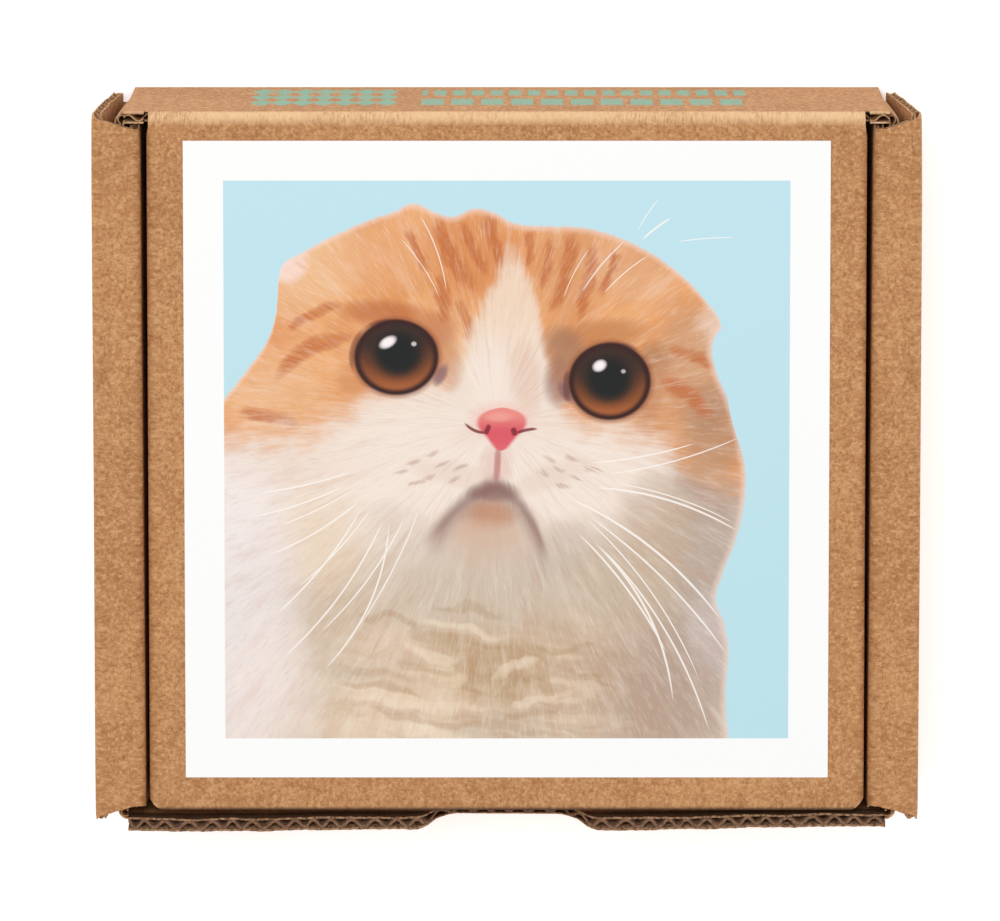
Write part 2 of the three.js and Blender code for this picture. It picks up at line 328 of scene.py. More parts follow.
coatWashes = [
    ((46, 46), (30, 14), 0, 0.85, (246, 231, 219)), ((50, 28), (24, 10), 0, 0.55, (206, 189, 171)),
    ((86, 30), (9, 30), 0, 0.85, (184, 167, 154)), ((87, 50), (7, 12), -10, 0.8, (178, 146, 128)),
    ((74, 8), (13, 16), 0, 0.75, (188, 160, 140)), ((44, 12), (15, 9), 0, 0.75, (199, 167, 130)),
    ((30, 5), (15, 7), 8, 0.75, (234, 208, 180)), ((28, 16), (9, 5), -10, 0.6, (228, 202, 178)),
    ((16, 36), (9, 10), 10, 0.6, (238, 214, 188)), ((1, 22), (13, 34), 0, 0.7, (248, 240, 242)),
    ((9, 7), (9, 14), 0, 0.5, (246, 230, 220)), ((86, 18), (5, 8), 0, 0.6, (212, 198, 194)),
    ((61, 34), (11, 5), 24, 0.45, (196, 176, 160)), ((33, 37), (9, 4), -28, 0.4, (212, 194, 180)),
    ((72, 29), (10, 9), 0, 0.6, (196, 174, 150)), ((77, 39), (7, 9), 0, 0.7, (194, 168, 144)),
    ((79, 8), (9, 14), 0, 0.45, (174, 150, 134)), ((60, 12), (9, 12), 0, 0.45, (196, 160, 124)),
    ((13, 49), (14, 4), 0, 0.4, (240, 218, 204)),
]

orangeWashes = [
    ((16, 84), (11, 7), 30, 0.75, (242, 194, 148)), ((30, 87), (13, 6), 10, 0.65, (236, 172, 120)),
    ((8, 62), (9, 8), 30, 0.6, (243, 196, 152)), ((16, 59), (9, 4), 0, 0.6, (236, 174, 122)),
    ((84.5, 60), (5, 5), 0, 0.7, (176, 110, 60)), ((76.5, 68), (3.6, 3.8), 0, 0.8, (170, 104, 54)),
    ((44, 68.5), (3.2, 5), 0, 0.6, (244, 200, 152)), ((66, 84.5), (4, 3), -30, 0.5, (238, 186, 146)),
    ((44, 87), (9, 8), 0, 0.75, (220, 138, 76)), ((61, 84), (7, 9), 0, 0.65, (219, 152, 100)),
    ((72, 84), (9, 6), -30, 0.6, (231, 176, 134)), ((83, 68), (7, 11), 0, 0.75, (208, 162, 126)),
    ((78, 59), (9, 8), 0, 0.65, (208, 148, 106)), ((87, 55), (6, 9), 0, 0.8, (182, 138, 108)),
    ((11.5, 84.4), (3.4, 2.6), 0, 0.9, (252, 220, 208)), ((86.5, 75), (3.2, 3.4), 0, 0.7, (238, 204, 184)),
    ((42.5, 72), (4.4, 7), 20, 0.5, (236, 186, 140)), ((12, 73), (4, 3), 40, 0.4, (226, 150, 100)),
]

tabbyStripes = [
    ((37.6, 94.5), (45.0, 80.0), 1.9, -1.2), ((37.6, 84.0), (39.4, 74.0), 1.7, 0.4),
    ((46.6, 94.0), (49.4, 84.0), 1.5, -0.3), ((42.0, 93.0), (47.0, 83.0), 1.1, -0.4),
    ((54.4, 91.5), (53.6, 84.5), 1.1, 0.0), ((61.6, 91.5), (57.6, 76.0), 1.7, 0.9),
    ((65.4, 89.5), (62.4, 75.0), 1.5, 0.5), ((69.6, 88.5), (66.4, 79.0), 1.1, 0.3),
    ((57.8, 90.5), (56.2, 80.0), 1.0, 0.2), ((32.6, 91.5), (36.4, 83.5), 1.1, -0.3),
    ((23.6, 72.6), (8.5, 64.5), 1.9, -1.5), ((21.0, 78.0), (11.0, 73.0), 1.3, -0.6),
    ((76.6, 64.6), (87.0, 57.0), 2.2, 0.8), ((78.0, 70.6), (87.0, 66.6), 1.3, 0.5),
    ((2.0, 58.8), (14.0, 56.0), 1.6, 0.4), ((41.4, 79.6), (43.6, 70.4), 1.2, 0.3),
]

whiskers = [
    ((23.0, 48.2), (6.0, 44.2), 0.15, 0.5), ((22.0, 45.8), (4.5, 39.8), 0.15, 0.6),
    ((23.0, 44.9), (9.5, 38.2), 0.13, 0.4), ((24.0, 42.9), (7.6, 33.0), 0.16, 0.9),
    ((24.4, 41.8), (8.6, 22.0), 0.17, 1.2), ((28.4, 40.0), (9.7, 14.0), 0.17, 1.8),
    ((29.2, 39.2), (17.2, 12.0), 0.18, 2.8), ((32.4, 40.9), (16.6, 18.8), 0.15, 1.4),
    ((34.6, 41.6), (23.4, 19.6), 0.13, 0.8), ((26.2, 41.8), (12.6, 27.0), 0.13, 0.8),
    ((64.6, 49.6), (83.6, 53.2), 0.14, -0.6), ((67.8, 47.6), (91.6, 54.4), 0.13, -1.0),
    ((65.0, 45.2), (91.2, 37.2), 0.22, 1.8), ((69.0, 46.0), (90.4, 38.7), 0.13, 1.0),
    ((60.4, 43.6), (88.2, 21.1), 0.24, 2.4), ((64.0, 40.4), (89.2, 15.0), 0.18, 1.6),
    ((62.2, 37.4), (78.6, 15.0), 0.2, 1.2), ((65.0, 35.8), (79.6, 6.0), 0.22, 3.2),
    ((65.8, 35.4), (86.2, 0.5), 0.18, 2.6), ((63.0, 40.6), (84.4, 10.0), 0.14, 2.2),
    ((63.2, 80.0), (71.0, 89.4), 0.12, 0.5), ((67.0, 79.8), (75.0, 86.7), 0.1, 0.4),
    ((73.8, 89.4), (79.0, 93.4), 0.2, 0.2), ((73.0, 91.0), (77.0, 97.0), 0.1, 0.2),
    ((79.9, 89.1), (90.4, 89.9), 0.1, 0.2), ((39.4, 80.0), (34.6, 94.0), 0.1, -0.8),
    ((38.2, 79.0), (31.0, 90.0), 0.08, -0.6), ((60.0, 79.0), (64.6, 88.0), 0.08, 0.4),
]

chestFolds = [
    ((18.0, 9.2), (35.0, 8.0), 1.0, 0.8), ((26.8, 5.0), (45.0, 2.4), 1.0, -0.9),
    ((23.0, 22.6), (35.0, 18.2), 0.9, 0.7), ((31.3, 18.0), (52.0, 15.0), 1.1, 1.3),
    ((42.6, 15.0), (43.2, 5.0), 1.6, 0.8), ((54.0, 16.6), (66.0, 17.2), 0.9, -0.9),
    ((47.6, 7.6), (57.4, 11.4), 0.9, 0.6), ((48.6, 2.2), (61.0, 6.2), 1.0, 0.7),
    ((36.0, 23.4), (50.0, 21.2), 0.8, 0.9), ((30.0, 13.0), (41.0, 11.4), 0.9, 0.8),
    ((60.0, 13.0), (69.0, 8.0), 0.8, 0.5),
]
foldLights = [
    ((20.0, 6.4), (36.0, 5.0), 1.1, 0.8), ((30.0, 15.8), (42.0, 13.6), 1.1, 0.8),
    ((33.0, 20.6), (50.0, 18.2), 1.0, 1.0), ((46.6, 9.8), (56.0, 13.4), 1.1, 0.6),
    ((30.0, 2.6), (44.0, 0.2), 1.1, -0.6), ((50.0, 4.8), (60.0, 8.6), 1.0, 0.6),
]

muzzleDots = [
    (33.6, 50.0), (36.2, 47.4), (41.9, 48.9), (34.2, 46.4), (38.6, 49.9), (40.4, 46.9),
    (37.0, 51.8), (31.4, 48.2), (57.4, 50.0), (62.5, 46.7), (59.4, 48.2), (61.6, 50.6),
    (56.4, 47.4), (64.8, 48.6), (59.8, 45.2),
]


def paintCat(maker, x, y):
    place = maker.together(x, y, 1.0)
    # hair lies in streaks that run out from the nose
    fromNoseX, fromNoseY = x - 48, y - 57
    reach = (fromNoseX * fromNoseX + fromNoseY * fromNoseY + 0.5) ** 0.5
    hairPlace = maker.together(fromNoseX / reach * 42, fromNoseY / reach * 42, reach * 0.13)
    hair = maker.noise(hairPlace, 1.1, 3.0, 0.6) - 0.5
    fineHair = maker.noise(hairPlace, 3.4, 2.0, 0.6) - 0.5
    cloud = maker.noise(place, 0.09, 2.0, 0.5) - 0.5
    curl = maker.noise(place, 0.35, 2.0, 0.5) - 0.5
    tufts = hair * 2.4 + cloud * 1.2 + curl * 1.4
    brushed = maker.together(x + hair * 3.0 + curl * 2.0, y + hair * 1.6 + cloud * 3.0, 1.0)

    sky = maker.mix(maker.step(y, 0.0, 100.0), tint(190, 227, 236), tint(194, 229, 239))

    # the white coat
    coat = maker.mix(maker.step(y + tufts * 2, 46.0, 24.0), tint(243, 227, 213), tint(214, 194, 172))
    coat = washes(maker, coat, brushed, coatWashes)
    ripplePlace = maker.together(x * 0.07 + curl * 0.3, y * 0.3 + x * 0.04 + cloud * 2, 3.0)
    ripple = maker.noise(ripplePlace, 1.0, 3.0, 0.55)
    lowCoat = maker.step(y, 27.0, 12.0) * maker.step(abs(x - 44), 36.0, 14.0)
    coat = maker.mix(maker.step(ripple, 0.48, 0.68) * lowCoat * 0.4, coat, tint(176, 140, 98))
    coat = maker.mix(maker.step(ripple, 0.5, 0.34) * lowCoat * 0.5, coat, tint(240, 218, 190))
    swept = maker.together(x + curl * 5 + cloud * 6, y + cloud * 9 + hair * 0.5, 1.0)
    folds = strokes(maker, swept, chestFolds, 0.0)
    coat = maker.mix(folds * 0.34, coat, tint(170, 134, 90))
    coat = maker.mix(strokes(maker, swept, foldLights, 0.0) * 0.5, coat, tint(243, 224, 198))

    # the orange cap and its stripes
    orangeLow = maker.curve(x, catLines["orangeLow"])
    cap = maker.step(y + tufts * 3.4 - orangeLow, -4.4, 5.0)
    orange = maker.mix(maker.step(hair + cloud * 1.4, -0.28, 0.28), tint(240, 174, 116), tint(228, 152, 90))
    orange = washes(maker, orange, brushed, orangeWashes)
    stripes = strokes(maker, brushed, tabbyStripes, 0.0)
    orange = maker.mix(stripes * maker.step(hair, -0.5, 0.2) * 0.9, orange, tint(196, 102, 42))
    picture = maker.mix(cap, coat, orange)
    blaze = maker.step(y, 64.0, 80.0) * (1 - cap) * maker.step(x, 38.0, 46.0)
    picture = maker.mix(blaze * 0.9, picture, tint(243, 212, 184))
    picture = washes(maker, picture, brushed, [
        ((53.5, 65), (3.0, 7.0), 6, 0.6, (228, 190, 168)), ((47, 64), (3.5, 8.0), 4, 0.5, (252, 234, 224)),
        ((58, 57), (4.0, 3.0), 0, 0.4, (240, 214, 196)), ((43.5, 55), (4.0, 2.0), 20, 0.3, (238, 208, 192)),
    ])

    # clumps of hair, then single hairs
    clumpPlace = maker.together(fromNoseX / reach * 16, fromNoseY / reach * 16, reach * 0.07)
    clump = maker.noise(clumpPlace, 1.3, 3.0, 0.6) - 0.5
    picture = maker.cover(picture, [
        (clump, 0.0, 0.2, 0.16, (255, 240, 224)), (clump, 0.0, -0.2, 0.14, (196, 130, 84)),
        (hair, 0.02, 0.26, 0.12, (255, 240, 224)), (hair, -0.02, -0.26, 0.1, (186, 124, 84)),
        (fineHair, 0.02, 0.24, 0.2, (255, 242, 226)), (fineHair, -0.02, -0.24, 0.14, (164, 112, 80)),
    ])

    # mouth, chin and muzzle
    picture = washes(maker, picture, brushed, [
        ((47.2, 36.4), (10.0, 6.0), 0, 0.6, (208, 178, 156)),
        ((40.4, 48.0), (8.0, 2.2), -14, 0.25, (214, 178, 158)),
        ((57.6, 47.0), (8.0, 2.4), 20, 0.25, (216, 180, 160)),
        ((48.2, 49.0), (3.0, 4.0), 0, 0.45, (222, 172, 160)),
    ])
    under = maker.curve(x, catLines["mouthTop"]) - y + hair * 0.8 + curl * 0.6
    lip = maker.step(under, -1.6, 1.9) * maker.step(x, 34.5, 39.0) * maker.step(x, 58.0, 55.4)
    shade = lip * maker.step(under, 7.5, 0.5)
    picture = maker.mix(shade * 0.8, picture, tint(150, 112, 100))
    picture = maker.mix(lip * maker.step(under, 2.8, 0.3) * 0.42, picture, tint(124, 90, 88))
    picture = washes(maker, picture, brushed, [
        ((47.0, 40.0), (4.6, 3.0), 0, 0.8, (192, 134, 98)),
        ((47.5, 44.4), (4.4, 2.0), 0, 0.7, (132, 88, 82)),
        ((46.6, 36.6), (6.0, 2.6), 0, 0.6, (214, 180, 154)),
        ((43.4, 38.0), (2.4, 1.8), 0, 0.5, (214, 176, 154)),
    ])
    groove = stroke(maker, place, (48.5, 53.0), (48.0, 45.6), 0.8, 0.1, 0.0)
    picture = maker.mix(groove * 0.75, picture, tint(190, 112, 110))
    dots = None
    for centre in muzzleDots:
        dot = spot(maker, brushed, centre, (1.5, 0.4), 18 if centre[0] < 48 else -25, 0.0, 1.2)
        dots = dot if dots is None else dots.most(dot)
    picture = maker.mix(dots * 0.42, picture, tint(176, 128, 106))

    # nose
    glowPink = spot(maker, place, (49.0, 57.2), (6.0, 3.6), 0, 0.3, 1.2)
    picture = maker.mix(glowPink * 0.5, picture, tint(242, 184, 172))
    noseHalf = maker.curve(y, catLines["noseHalf"])
    nose = maker.step(noseHalf - abs(x - 49.1 - (y - 56) * 0.03), -0.4, 0.7)
    noseColour = maker.mix(maker.step(y + hair * 1.5, 58.8, 55.0), tint(238, 142, 132), tint(222, 88, 100))
    noseColour = maker.mix(maker.step(y + fineHair, 54.6, 52.2) * 0.6, noseColour, tint(232, 104, 112))
    ridgeLight = spot(maker, place, (48.6, 57.8), (2.6, 0.9), 0, 0.0, 1.2)
    noseColour = maker.mix(ridgeLight * 0.5, noseColour, tint(246, 176, 164))
    picture = maker.mix(nose, picture, noseColour)
    nostrils = strokes(maker, place, [
        ((47.0, 56.6), (46.2, 54.6), 0.6, 0.0), ((46.8, 55.0), (42.4, 56.9), 0.38, 0.6),
        ((51.0, 56.0), (51.6, 54.4), 0.7, 0.0), ((51.4, 54.8), (55.6, 55.7), 0.38, 0.25),
    ], 0.1)
    picture = maker.mix(nostrils * 0.92, picture, tint(128, 34, 46))

    for eye in catEyes:
        picture = paintEye(maker, picture, place, eye, fineHair)

    # cut the cat out of the sky, with a pale fringe of backlit hair
    headTop = maker.curve(x, catLines["headTop"])
    rightEdge = maker.curve(y, catLines["rightEdge"])
    inside = (headTop - y).least(rightEdge - x) + hair * 0.5
    fringe = maker.step(inside, 1.5, 0.1) * 0.5
    picture = maker.mix(fringe, picture, tint(250, 224, 212))
    picture = maker.mix(maker.step(inside, -0.3, 0.4), sky, picture)
    bright = strokes(maker, place, whiskers)
    return maker.mix(bright * 0.85, picture, tint(255, 249, 243))


# sizes taken from the frame, in millimetres

quarter = math.pi / 2 * halfBoard  # a fold's length along the middle of the board
boxCad = {name: [np.array(corner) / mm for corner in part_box(name)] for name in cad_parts}
width = boxCad["right_outer_wall"][1][0] * 2
depth = boxCad["back_wall"][1][1] * 2
height = boxCad["left_rolled_top"][1][2]
wallEnd = boxCad["back_wall"][1][0]
wallTop = boxCad["front_wall"][1][2]
lidHalf = boxCad["lid_panel"][1][0]
lidFront = boxCad["lid_panel"][0][1]
innerFace = boxCad["right_rolled_top"][0][0]
creaseZ = height - halfBoard
hingeY = depth / 2 - halfBoard
flapAxisY = lidFront + halfBoard
earAxisX = lidHalf - halfBoard
tabMiddle = wallEnd - halfBoard


# materials

kraftLook = {
    "liner": (190, 134, 86),  # screen colours, from 0 to 255
    "pale": (214, 164, 116),
    "dark": (150, 98, 56),
    "inside": (176, 122, 76),
    "strand": (232, 190, 146),
    "grain": (120, 76, 44),
    "speck": (70, 44, 28),
    "paleFleck": (228, 180, 130),
    "darkFleck": (146, 92, 50),
    # painted highlight for the hinge crease
    "creaseHighlight": (252, 214, 166),
    # painted shade for the lid's front edge and the top of the front wall's inside
    "paintedShade": (40, 22, 13),
    "printInk": (118, 188, 168),
}
printBand = {  # places on the back wall, from its middle and its foot
    "blockX": (-42.0, -18.0), "blockY": (2.5, 20.5), "blockStep": (3.43, 6.0),
    "rowX": (-14.0, 39.5), "upperY": (13.5, 20.0), "lowerY": (3.5, 9.5),
    "upperStep": 4.9, "lowerStep": 3.1,
}


def printMarks(maker, across, up):
    # two rows of plain broken dashes and a patterned block: no lettering
    def bar(rangeX, rangeY):
        (low, high), (bottom, top) = rangeX, rangeY
        sides = maker.step(across, low - 0.2, low + 0.2) * maker.step(across, high + 0.2, high - 0.2)
        return sides * maker.step(up, bottom - 0.5, bottom + 0.5) * maker.step(up, top + 0.5, top - 0.5)
    blockLeft, rowLeft = printBand["blockX"][0], printBand["rowX"][0]
    stepX, stepY = printBand["blockStep"]
    blockX = ((across - blockLeft) / stepX).part() - 0.5
    blockY = ((up - printBand["blockY"][0]) / stepY).part() - 0.5
    blob = maker.step(abs(blockX) + abs(blockY), 0.62, 0.55)
    block = bar(printBand["blockX"], printBand["blockY"]) * blob
    upperDash = maker.step(((across - rowLeft) / printBand["upperStep"]).part(), 0.76, 0.72)
    lowerDash = maker.step(((across - (rowLeft + 2)) / printBand["lowerStep"]).part(), 0.68, 0.64)
    upper = bar(printBand["rowX"], printBand["upperY"]) * upperDash
    lower = bar(printBand["rowX"], printBand["lowerY"]) * lowerDash
    return block.most(upper).most(lower)


def kraftMaterial(name, base, printed=False, rough=0.0, paintedShade=None):
    maker = Maker(name)
    place = maker.attribute("boardPlace")
    across, along, inward = maker.apart(place)
    mottle = maker.noise(place, 0.32, 4.0, 0.62)
    cloud = maker.noise(place, 0.045, 2.0, 0.5)
    fibrePlace = maker.together(across * 3.2 + along * 0.5, along * 0.85 - across * 0.2, inward)
    fibre = maker.noise(fibrePlace, 1.5, 3.0, 0.7)
    crossFibre = maker.noise(maker.together(across, along * 4.2 + across * 0.8, inward), 1.1, 2.0, 0.65)
    grain = maker.noise(place, 3.8, 2.0, 0.6)
    fleck = maker.noise(place, 1.75, 3.0, 0.68)
    speck = maker.node("ShaderNodeTexVoronoi", {"feature": "F1"}, {"Vector": place, "Scale": 0.2})
    ridge = (across * (2 * math.pi / flute)).wave()
    colour = maker.mix(maker.step(mottle, 0.34, 0.66), tint(*kraftLook[base]), tint(*kraftLook["pale"]))
    colour = maker.mix(0.45, tint(*kraftLook[base]), colour)
    colour = maker.cover(colour, [
        (cloud, 0.42, 0.62, 0.16, kraftLook["dark"]),
        (fibre, 0.56, 0.72, 0.36, kraftLook["pale"]),
        (crossFibre, 0.57, 0.7, 0.22, kraftLook["strand"]),
        (fibre, 0.45, 0.3, 0.34, kraftLook["dark"]),
        (grain, 0.55, 0.75, 0.32, kraftLook["grain"]),
        (speck, 0.055, 0.02, 0.7, kraftLook["speck"]),
        (fleck, 0.5, 0.68, 0.62, kraftLook["paleFleck"]),
        (fleck, 0.5, 0.32, 0.6, kraftLook["darkFleck"]),
        (ridge, -1.0, 1.0, 0.06, kraftLook["dark"]),
    ])
    if printed:
        ink = printMarks(maker, across, along) * maker.step(fibre, 0.28, 0.5) * 0.8
        colour = maker.mix(ink, colour, tint(*kraftLook["printInk"]))
        # painted highlight along the hinge crease, where light catches the fold
        creaseStart = maker.step(along, wallTop - 0.5, wallTop + 0.3)
        creaseHighlight = creaseStart * maker.step(along, wallTop + 1.7, wallTop + 0.6)
        creaseHighlight = creaseHighlight * maker.step(cloud + fibre, 0.6, 1.05)
        colour = maker.mix(creaseHighlight * 0.7, colour, tint(*kraftLook["creaseHighlight"]))
    if paintedShade:
        # painted shade: the sheet darkens from the first place along it to the second
        colour = maker.cover(colour, [(along, *paintedShade, 0.88, kraftLook["paintedShade"])])
    relief = mottle * 0.5 + fibre * 0.5 + grain * 0.3 + ridge * 0.12
    return maker.finish({
        "Base Color": colour,
        "Roughness": 0.72 + maker.step(mottle, 0.3, 0.7) * 0.2,
        "Specular IOR Level": 0.28,
        "Normal": maker.bump(relief, 0.35 + rough, 0.00012),
    })


def fibreMaterial(name, low, high, look):
    # bare fibre that wanders between two tints: a cut edge, the wave or greyboard
    maker = Maker(name)
    fuzz = maker.noise(maker.attribute(look["place"]), look["scale"], look["detail"], look["noise"])
    return maker.finish({
        "Base Color": maker.mix(maker.step(fuzz, *look["rise"]), tint(*low), tint(*high)),
        "Roughness": look["roughness"],
        "Specular IOR Level": look["shine"],
        "Normal": maker.bump(fuzz, *look["bump"]),
    })


waveLook = {"place": "boardPlace", "scale": 2.2, "detail": 3.0, "noise": 0.65, "rise": (0.3, 0.7),
            "roughness": 0.95, "shine": 0.15, "bump": (0.5, 0.00015)}
cutLook = {"place": "boardPlace", "scale": 1.6, "detail": 3.0, "noise": 0.7, "rise": (0.36, 0.62),
           "roughness": 0.96, "shine": 0.12, "bump": (0.6, 0.0002)}
greyLook = {"place": "picturePlace", "scale": 1.4, "detail": 4.0, "noise": 0.7, "rise": (0.35, 0.65),
            "roughness": 0.9, "shine": 0.2, "bump": (0.3, 0.0001)}

kraftLiner = kraftMaterial("kraft_liner", "liner")
kraftInside = kraftMaterial("kraft_inside", "inside", False, 0.15)
kraftWave = fibreMaterial("kraft_wave", (150, 108, 76), (196, 152, 112), waveLook)
kraftCut = fibreMaterial("kraft_cut_edge", (168, 124, 88), (222, 184, 142), cutLook)
# darker copies of the wave and cut edge: painted shade for the front wall's top edge under the lid
shadedWave = fibreMaterial("kraft_wave_shaded", (96, 70, 53), (152, 116, 90), waveLook)
shadedCut = fibreMaterial("kraft_cut_shaded", (104, 74, 54), (176, 138, 106), cutLook)
plainBoard = [kraftLiner, kraftWave, kraftInside, kraftCut]


# corrugated board: two liners and the wave between them

boardMake = {
    "liner": 0.28,
    "medium": 0.24,
    "step": 0.34,  # spacing of the columns that draw the wave
    "ragged": 0.10,  # how far a cut edge wanders
    "pinch": 0.14,  # how much a cut edge is crushed
    "waveSlope": 0.9,
    "spread": 0.4,  # how much a handled edge swells
    "push": 0.62,  # how far a handled edge is pushed outward
    "least": 0.012,  # least distance between two rows of points
}


def wander(seed, values, size):
    # a smooth seeded wobble along a list of places
    draw = np.random.RandomState(seed)
    total = np.zeros_like(values)
    for wave, share in ((9.0, 0.5), (2.7, 0.3), (0.9, 0.35)):
        total += share * np.sin(values / wave * 2 * math.pi + draw.uniform(0, 6.28))
        total += share * 0.5 * np.sin(values / wave * 3.9 + draw.uniform(0, 6.28))
    return total * size


def layerMesh(across, along, low, high, keep):
    # vertices run column by column; low and high are the layer's two faces
    columns, rows = across.shape
    count = columns * rows
    number = np.arange(count).reshape(columns, rows)
    points = np.concatenate([high.reshape(-1, 3), low.reshape(-1, 3)])
    a, b = number[:-1, :-1][keep], number[1:, :-1][keep]
    c, d = number[1:, 1:][keep], number[:-1, 1:][keep]
    top = np.stack([a, b, c, d], 1)
    under = np.stack([d, c, b, a], 1) + count
    across, along = across.ravel(), along.ravel()
    padded = np.pad(keep, 1)
    cellColumns, cellRows = keep.shape
    walls = []
    for shiftX, shiftY, first, second in ((-1, 0, (0, 1), (0, 0)), (1, 0, (1, 0), (1, 1)),
                                          (0, -1, (0, 0), (1, 0)), (0, 1, (1, 1), (0, 1))):
        beside = padded[1 + shiftX:1 + shiftX + cellColumns, 1 + shiftY:1 + shiftY + cellRows]
        i, j = np.nonzero(keep & ~beside)
        p = number[i + first[0], j + first[1]]
        q = number[i + second[0], j + second[1]]
        walls.append(np.stack([p, p + count, q + count, q], 1)[:, ::-1])
    place = np.column_stack([across, along])
    return points, top, under, np.concatenate(walls), np.concatenate([place, place])


def boardSheet(name, columns, lowEnd, highEnd, stations, shape, materials, seed=1, hole=None, phase=0.0,
               raggedLow=True, raggedHigh=True, crush=0.0):
    across = np.repeat(columns[:, None], len(stations) + 2, 1)
    ragged = boardMake["ragged"]
    points, faces, marks, places = [], [], [], []
    half = halfBoard - boardMake["liner"]
    angle = 2 * math.pi * columns / flute + phase
    angle = angle + crush * (0.8 * np.sin(columns / 5.3) + 0.5 * np.sin(columns / 2.3 + 1.0))
    slope = np.abs(np.cos(angle)) * boardMake["waveSlope"]
    wave = (half - boardMake["medium"] / 2) * np.sin(angle)
    thick = boardMake["medium"] / 2 * np.sqrt(1 + slope * slope) * (1 + 0.7 * crush)
    # each layer has its under side, its over side and the materials of over, under and edge
    layers = [
        (np.full_like(columns, half), np.full_like(columns, halfBoard), (0, 3, 3)),
        (np.clip(wave - thick, -half, half), np.clip(wave + thick, -half, half), (1, 1, 1)),
        (np.full_like(columns, -halfBoard), np.full_like(columns, -half), (3, 2, 3)),
    ]
    order = np.arange(len(stations) + 2) * boardMake["least"]
    fixed = np.concatenate([[-1e6], stations, [1e6]])
    base = 0
    for layer, (under, over, layerMarks) in enumerate(layers):
        low = lowEnd(columns) + (wander(seed * 7 + layer, columns, ragged) if raggedLow else 0)
        high = highEnd(columns) + (wander(seed * 13 + layer, columns, ragged) if raggedHigh else 0)
        along = np.minimum(np.maximum(fixed[None, :], low[:, None] + order), high[:, None] - order[::-1])
        edge = np.minimum(along - low[:, None], high[:, None] - along)
        pinch = 1 - boardMake["pinch"] * np.exp(-edge / 0.7) * (raggedLow or raggedHigh)
        # a handled edge spreads and is pushed outward
        near = np.exp(-(along - low[:, None]) / 1.5) * crush * (1 - np.clip(low / 3, 0, 1))[:, None]
        swell = boardMake["spread"] + np.clip(wander(seed * 3, columns / 1.8, 0.12), -0.14, 0.1)
        pinch = pinch * (1 + near * swell[:, None])
        push = boardMake["push"] + 0.08 * np.sin(columns / 3.3 + 2 * np.sin(columns / 7.1))
        push = near * push[:, None]
        lowPoints = np.stack(shape(across, along, under[:, None] * pinch + push), 2)
        highPoints = np.stack(shape(across, along, over[:, None] * pinch + push), 2)
        keep = np.ones((len(columns) - 1, len(stations) + 1), bool)
        if hole is not None:
            middleX = (across[:-1, :-1] + across[1:, 1:]) / 2
            middleY = (along[:-1, :-1] + along[1:, 1:]) / 2
            keep = ~hole(middleX, middleY)
        made, top, below, wall, place = layerMesh(across, along, lowPoints, highPoints, keep)
        points.append(made)
        inward = np.repeat([over.mean(), under.mean()], across.size)
        places.append(np.column_stack([place, inward]))
        faces.append(np.concatenate([top, below, wall]) + base)
        marks.append(np.repeat(layerMarks, (len(top), len(below), len(wall))))
        base += len(made)
    return meshPiece(name, np.concatenate(points) * mm, np.concatenate(faces),
                     np.concatenate(marks), materials, np.concatenate(places), "boardPlace")


def meshPiece(name, points, faces, marks, materials, places, placeName):
    data = bpy.data.meshes.new(name)
    data.from_pydata(points.tolist(), [], faces.tolist())
    used = np.unique(marks).tolist()
    data.polygons.foreach_set("material_index", np.searchsorted(used, marks).astype(np.int32))
    data.polygons.foreach_set("use_smooth", np.ones(len(faces), bool))
    where = data.attributes.new(placeName, "FLOAT_VECTOR", "POINT")
    where.data.foreach_set("vector", np.asarray(places, np.float32).ravel())
    for mark in used:
        data.materials.append(materials[mark])
    # every layer is a closed shell, so its faces can be turned outward
    shells = bmesh.new()
    shells.from_mesh(data)
    bmesh.ops.recalc_face_normals(shells, faces=shells.faces)
    shells.to_mesh(data)
    shells.free()
    data.set_sharp_from_angle(angle=math.radians(38))
    data.validate()
    data.update()
    made = bpy.data.objects.new(name, data)
    bpy.context.scene.collection.objects.link(made)
    return made


def columnsBetween(low, high, marks=()):
    count = max(2, int(round((high - low) / boardMake["step"])))
    return np.unique(np.concatenate([np.linspace(low, high, count + 1), np.array(marks, float)]))


def straight(start, heading, out, length):
    return {"start": start, "heading": heading, "out": out, "length": length}


def fold(centre, begin, turn=math.pi / 2):
    # the board's middle turns about centre, from the angle begin
    return {"centre": centre, "from": begin, "turn": turn, "length": halfBoard * turn}


def arcPath(corners):
    # a run of straight stretches and folds, as a function of the distance along it
    lengths = [piece["length"] for piece in corners]
    starts = np.concatenate([[0], np.cumsum(lengths)])

    def at(distance, out):
        first = np.zeros_like(distance)
        second = np.zeros_like(distance)
        for start, piece in zip(starts, corners):
            local = distance - start
            mask = (local >= 0) if start > 0 else np.ones_like(distance, bool)
            if "centre" in piece:
                turn = piece["from"] + piece["turn"] * local / piece["length"]
                radius = halfBoard + out
                a = piece["centre"][0] + radius * np.cos(turn)
                b = piece["centre"][1] + radius * np.sin(turn)
            else:
                a = piece["start"][0] + piece["heading"][0] * local + piece["out"][0] * out
                b = piece["start"][1] + piece["heading"][1] * local + piece["out"][1] * out
            first = np.where(mask, a, first)
            second = np.where(mask, b, second)
        return first, second
    return at, starts


wallTaper = 0.016  # the walls stand this much closer at the floor than at the top


def taper(x, z):
    return x * (1 - wallTaper * np.clip(1 - z / height, 0, 1))


def softly(value, low, high):
    # a smooth rise from 0 to 1
    share = np.clip((value - low) / (high - low), 0, 1)
    return share * share * (3 - 2 * share)


# bottom panel and front wall: one sheet, folded along the front

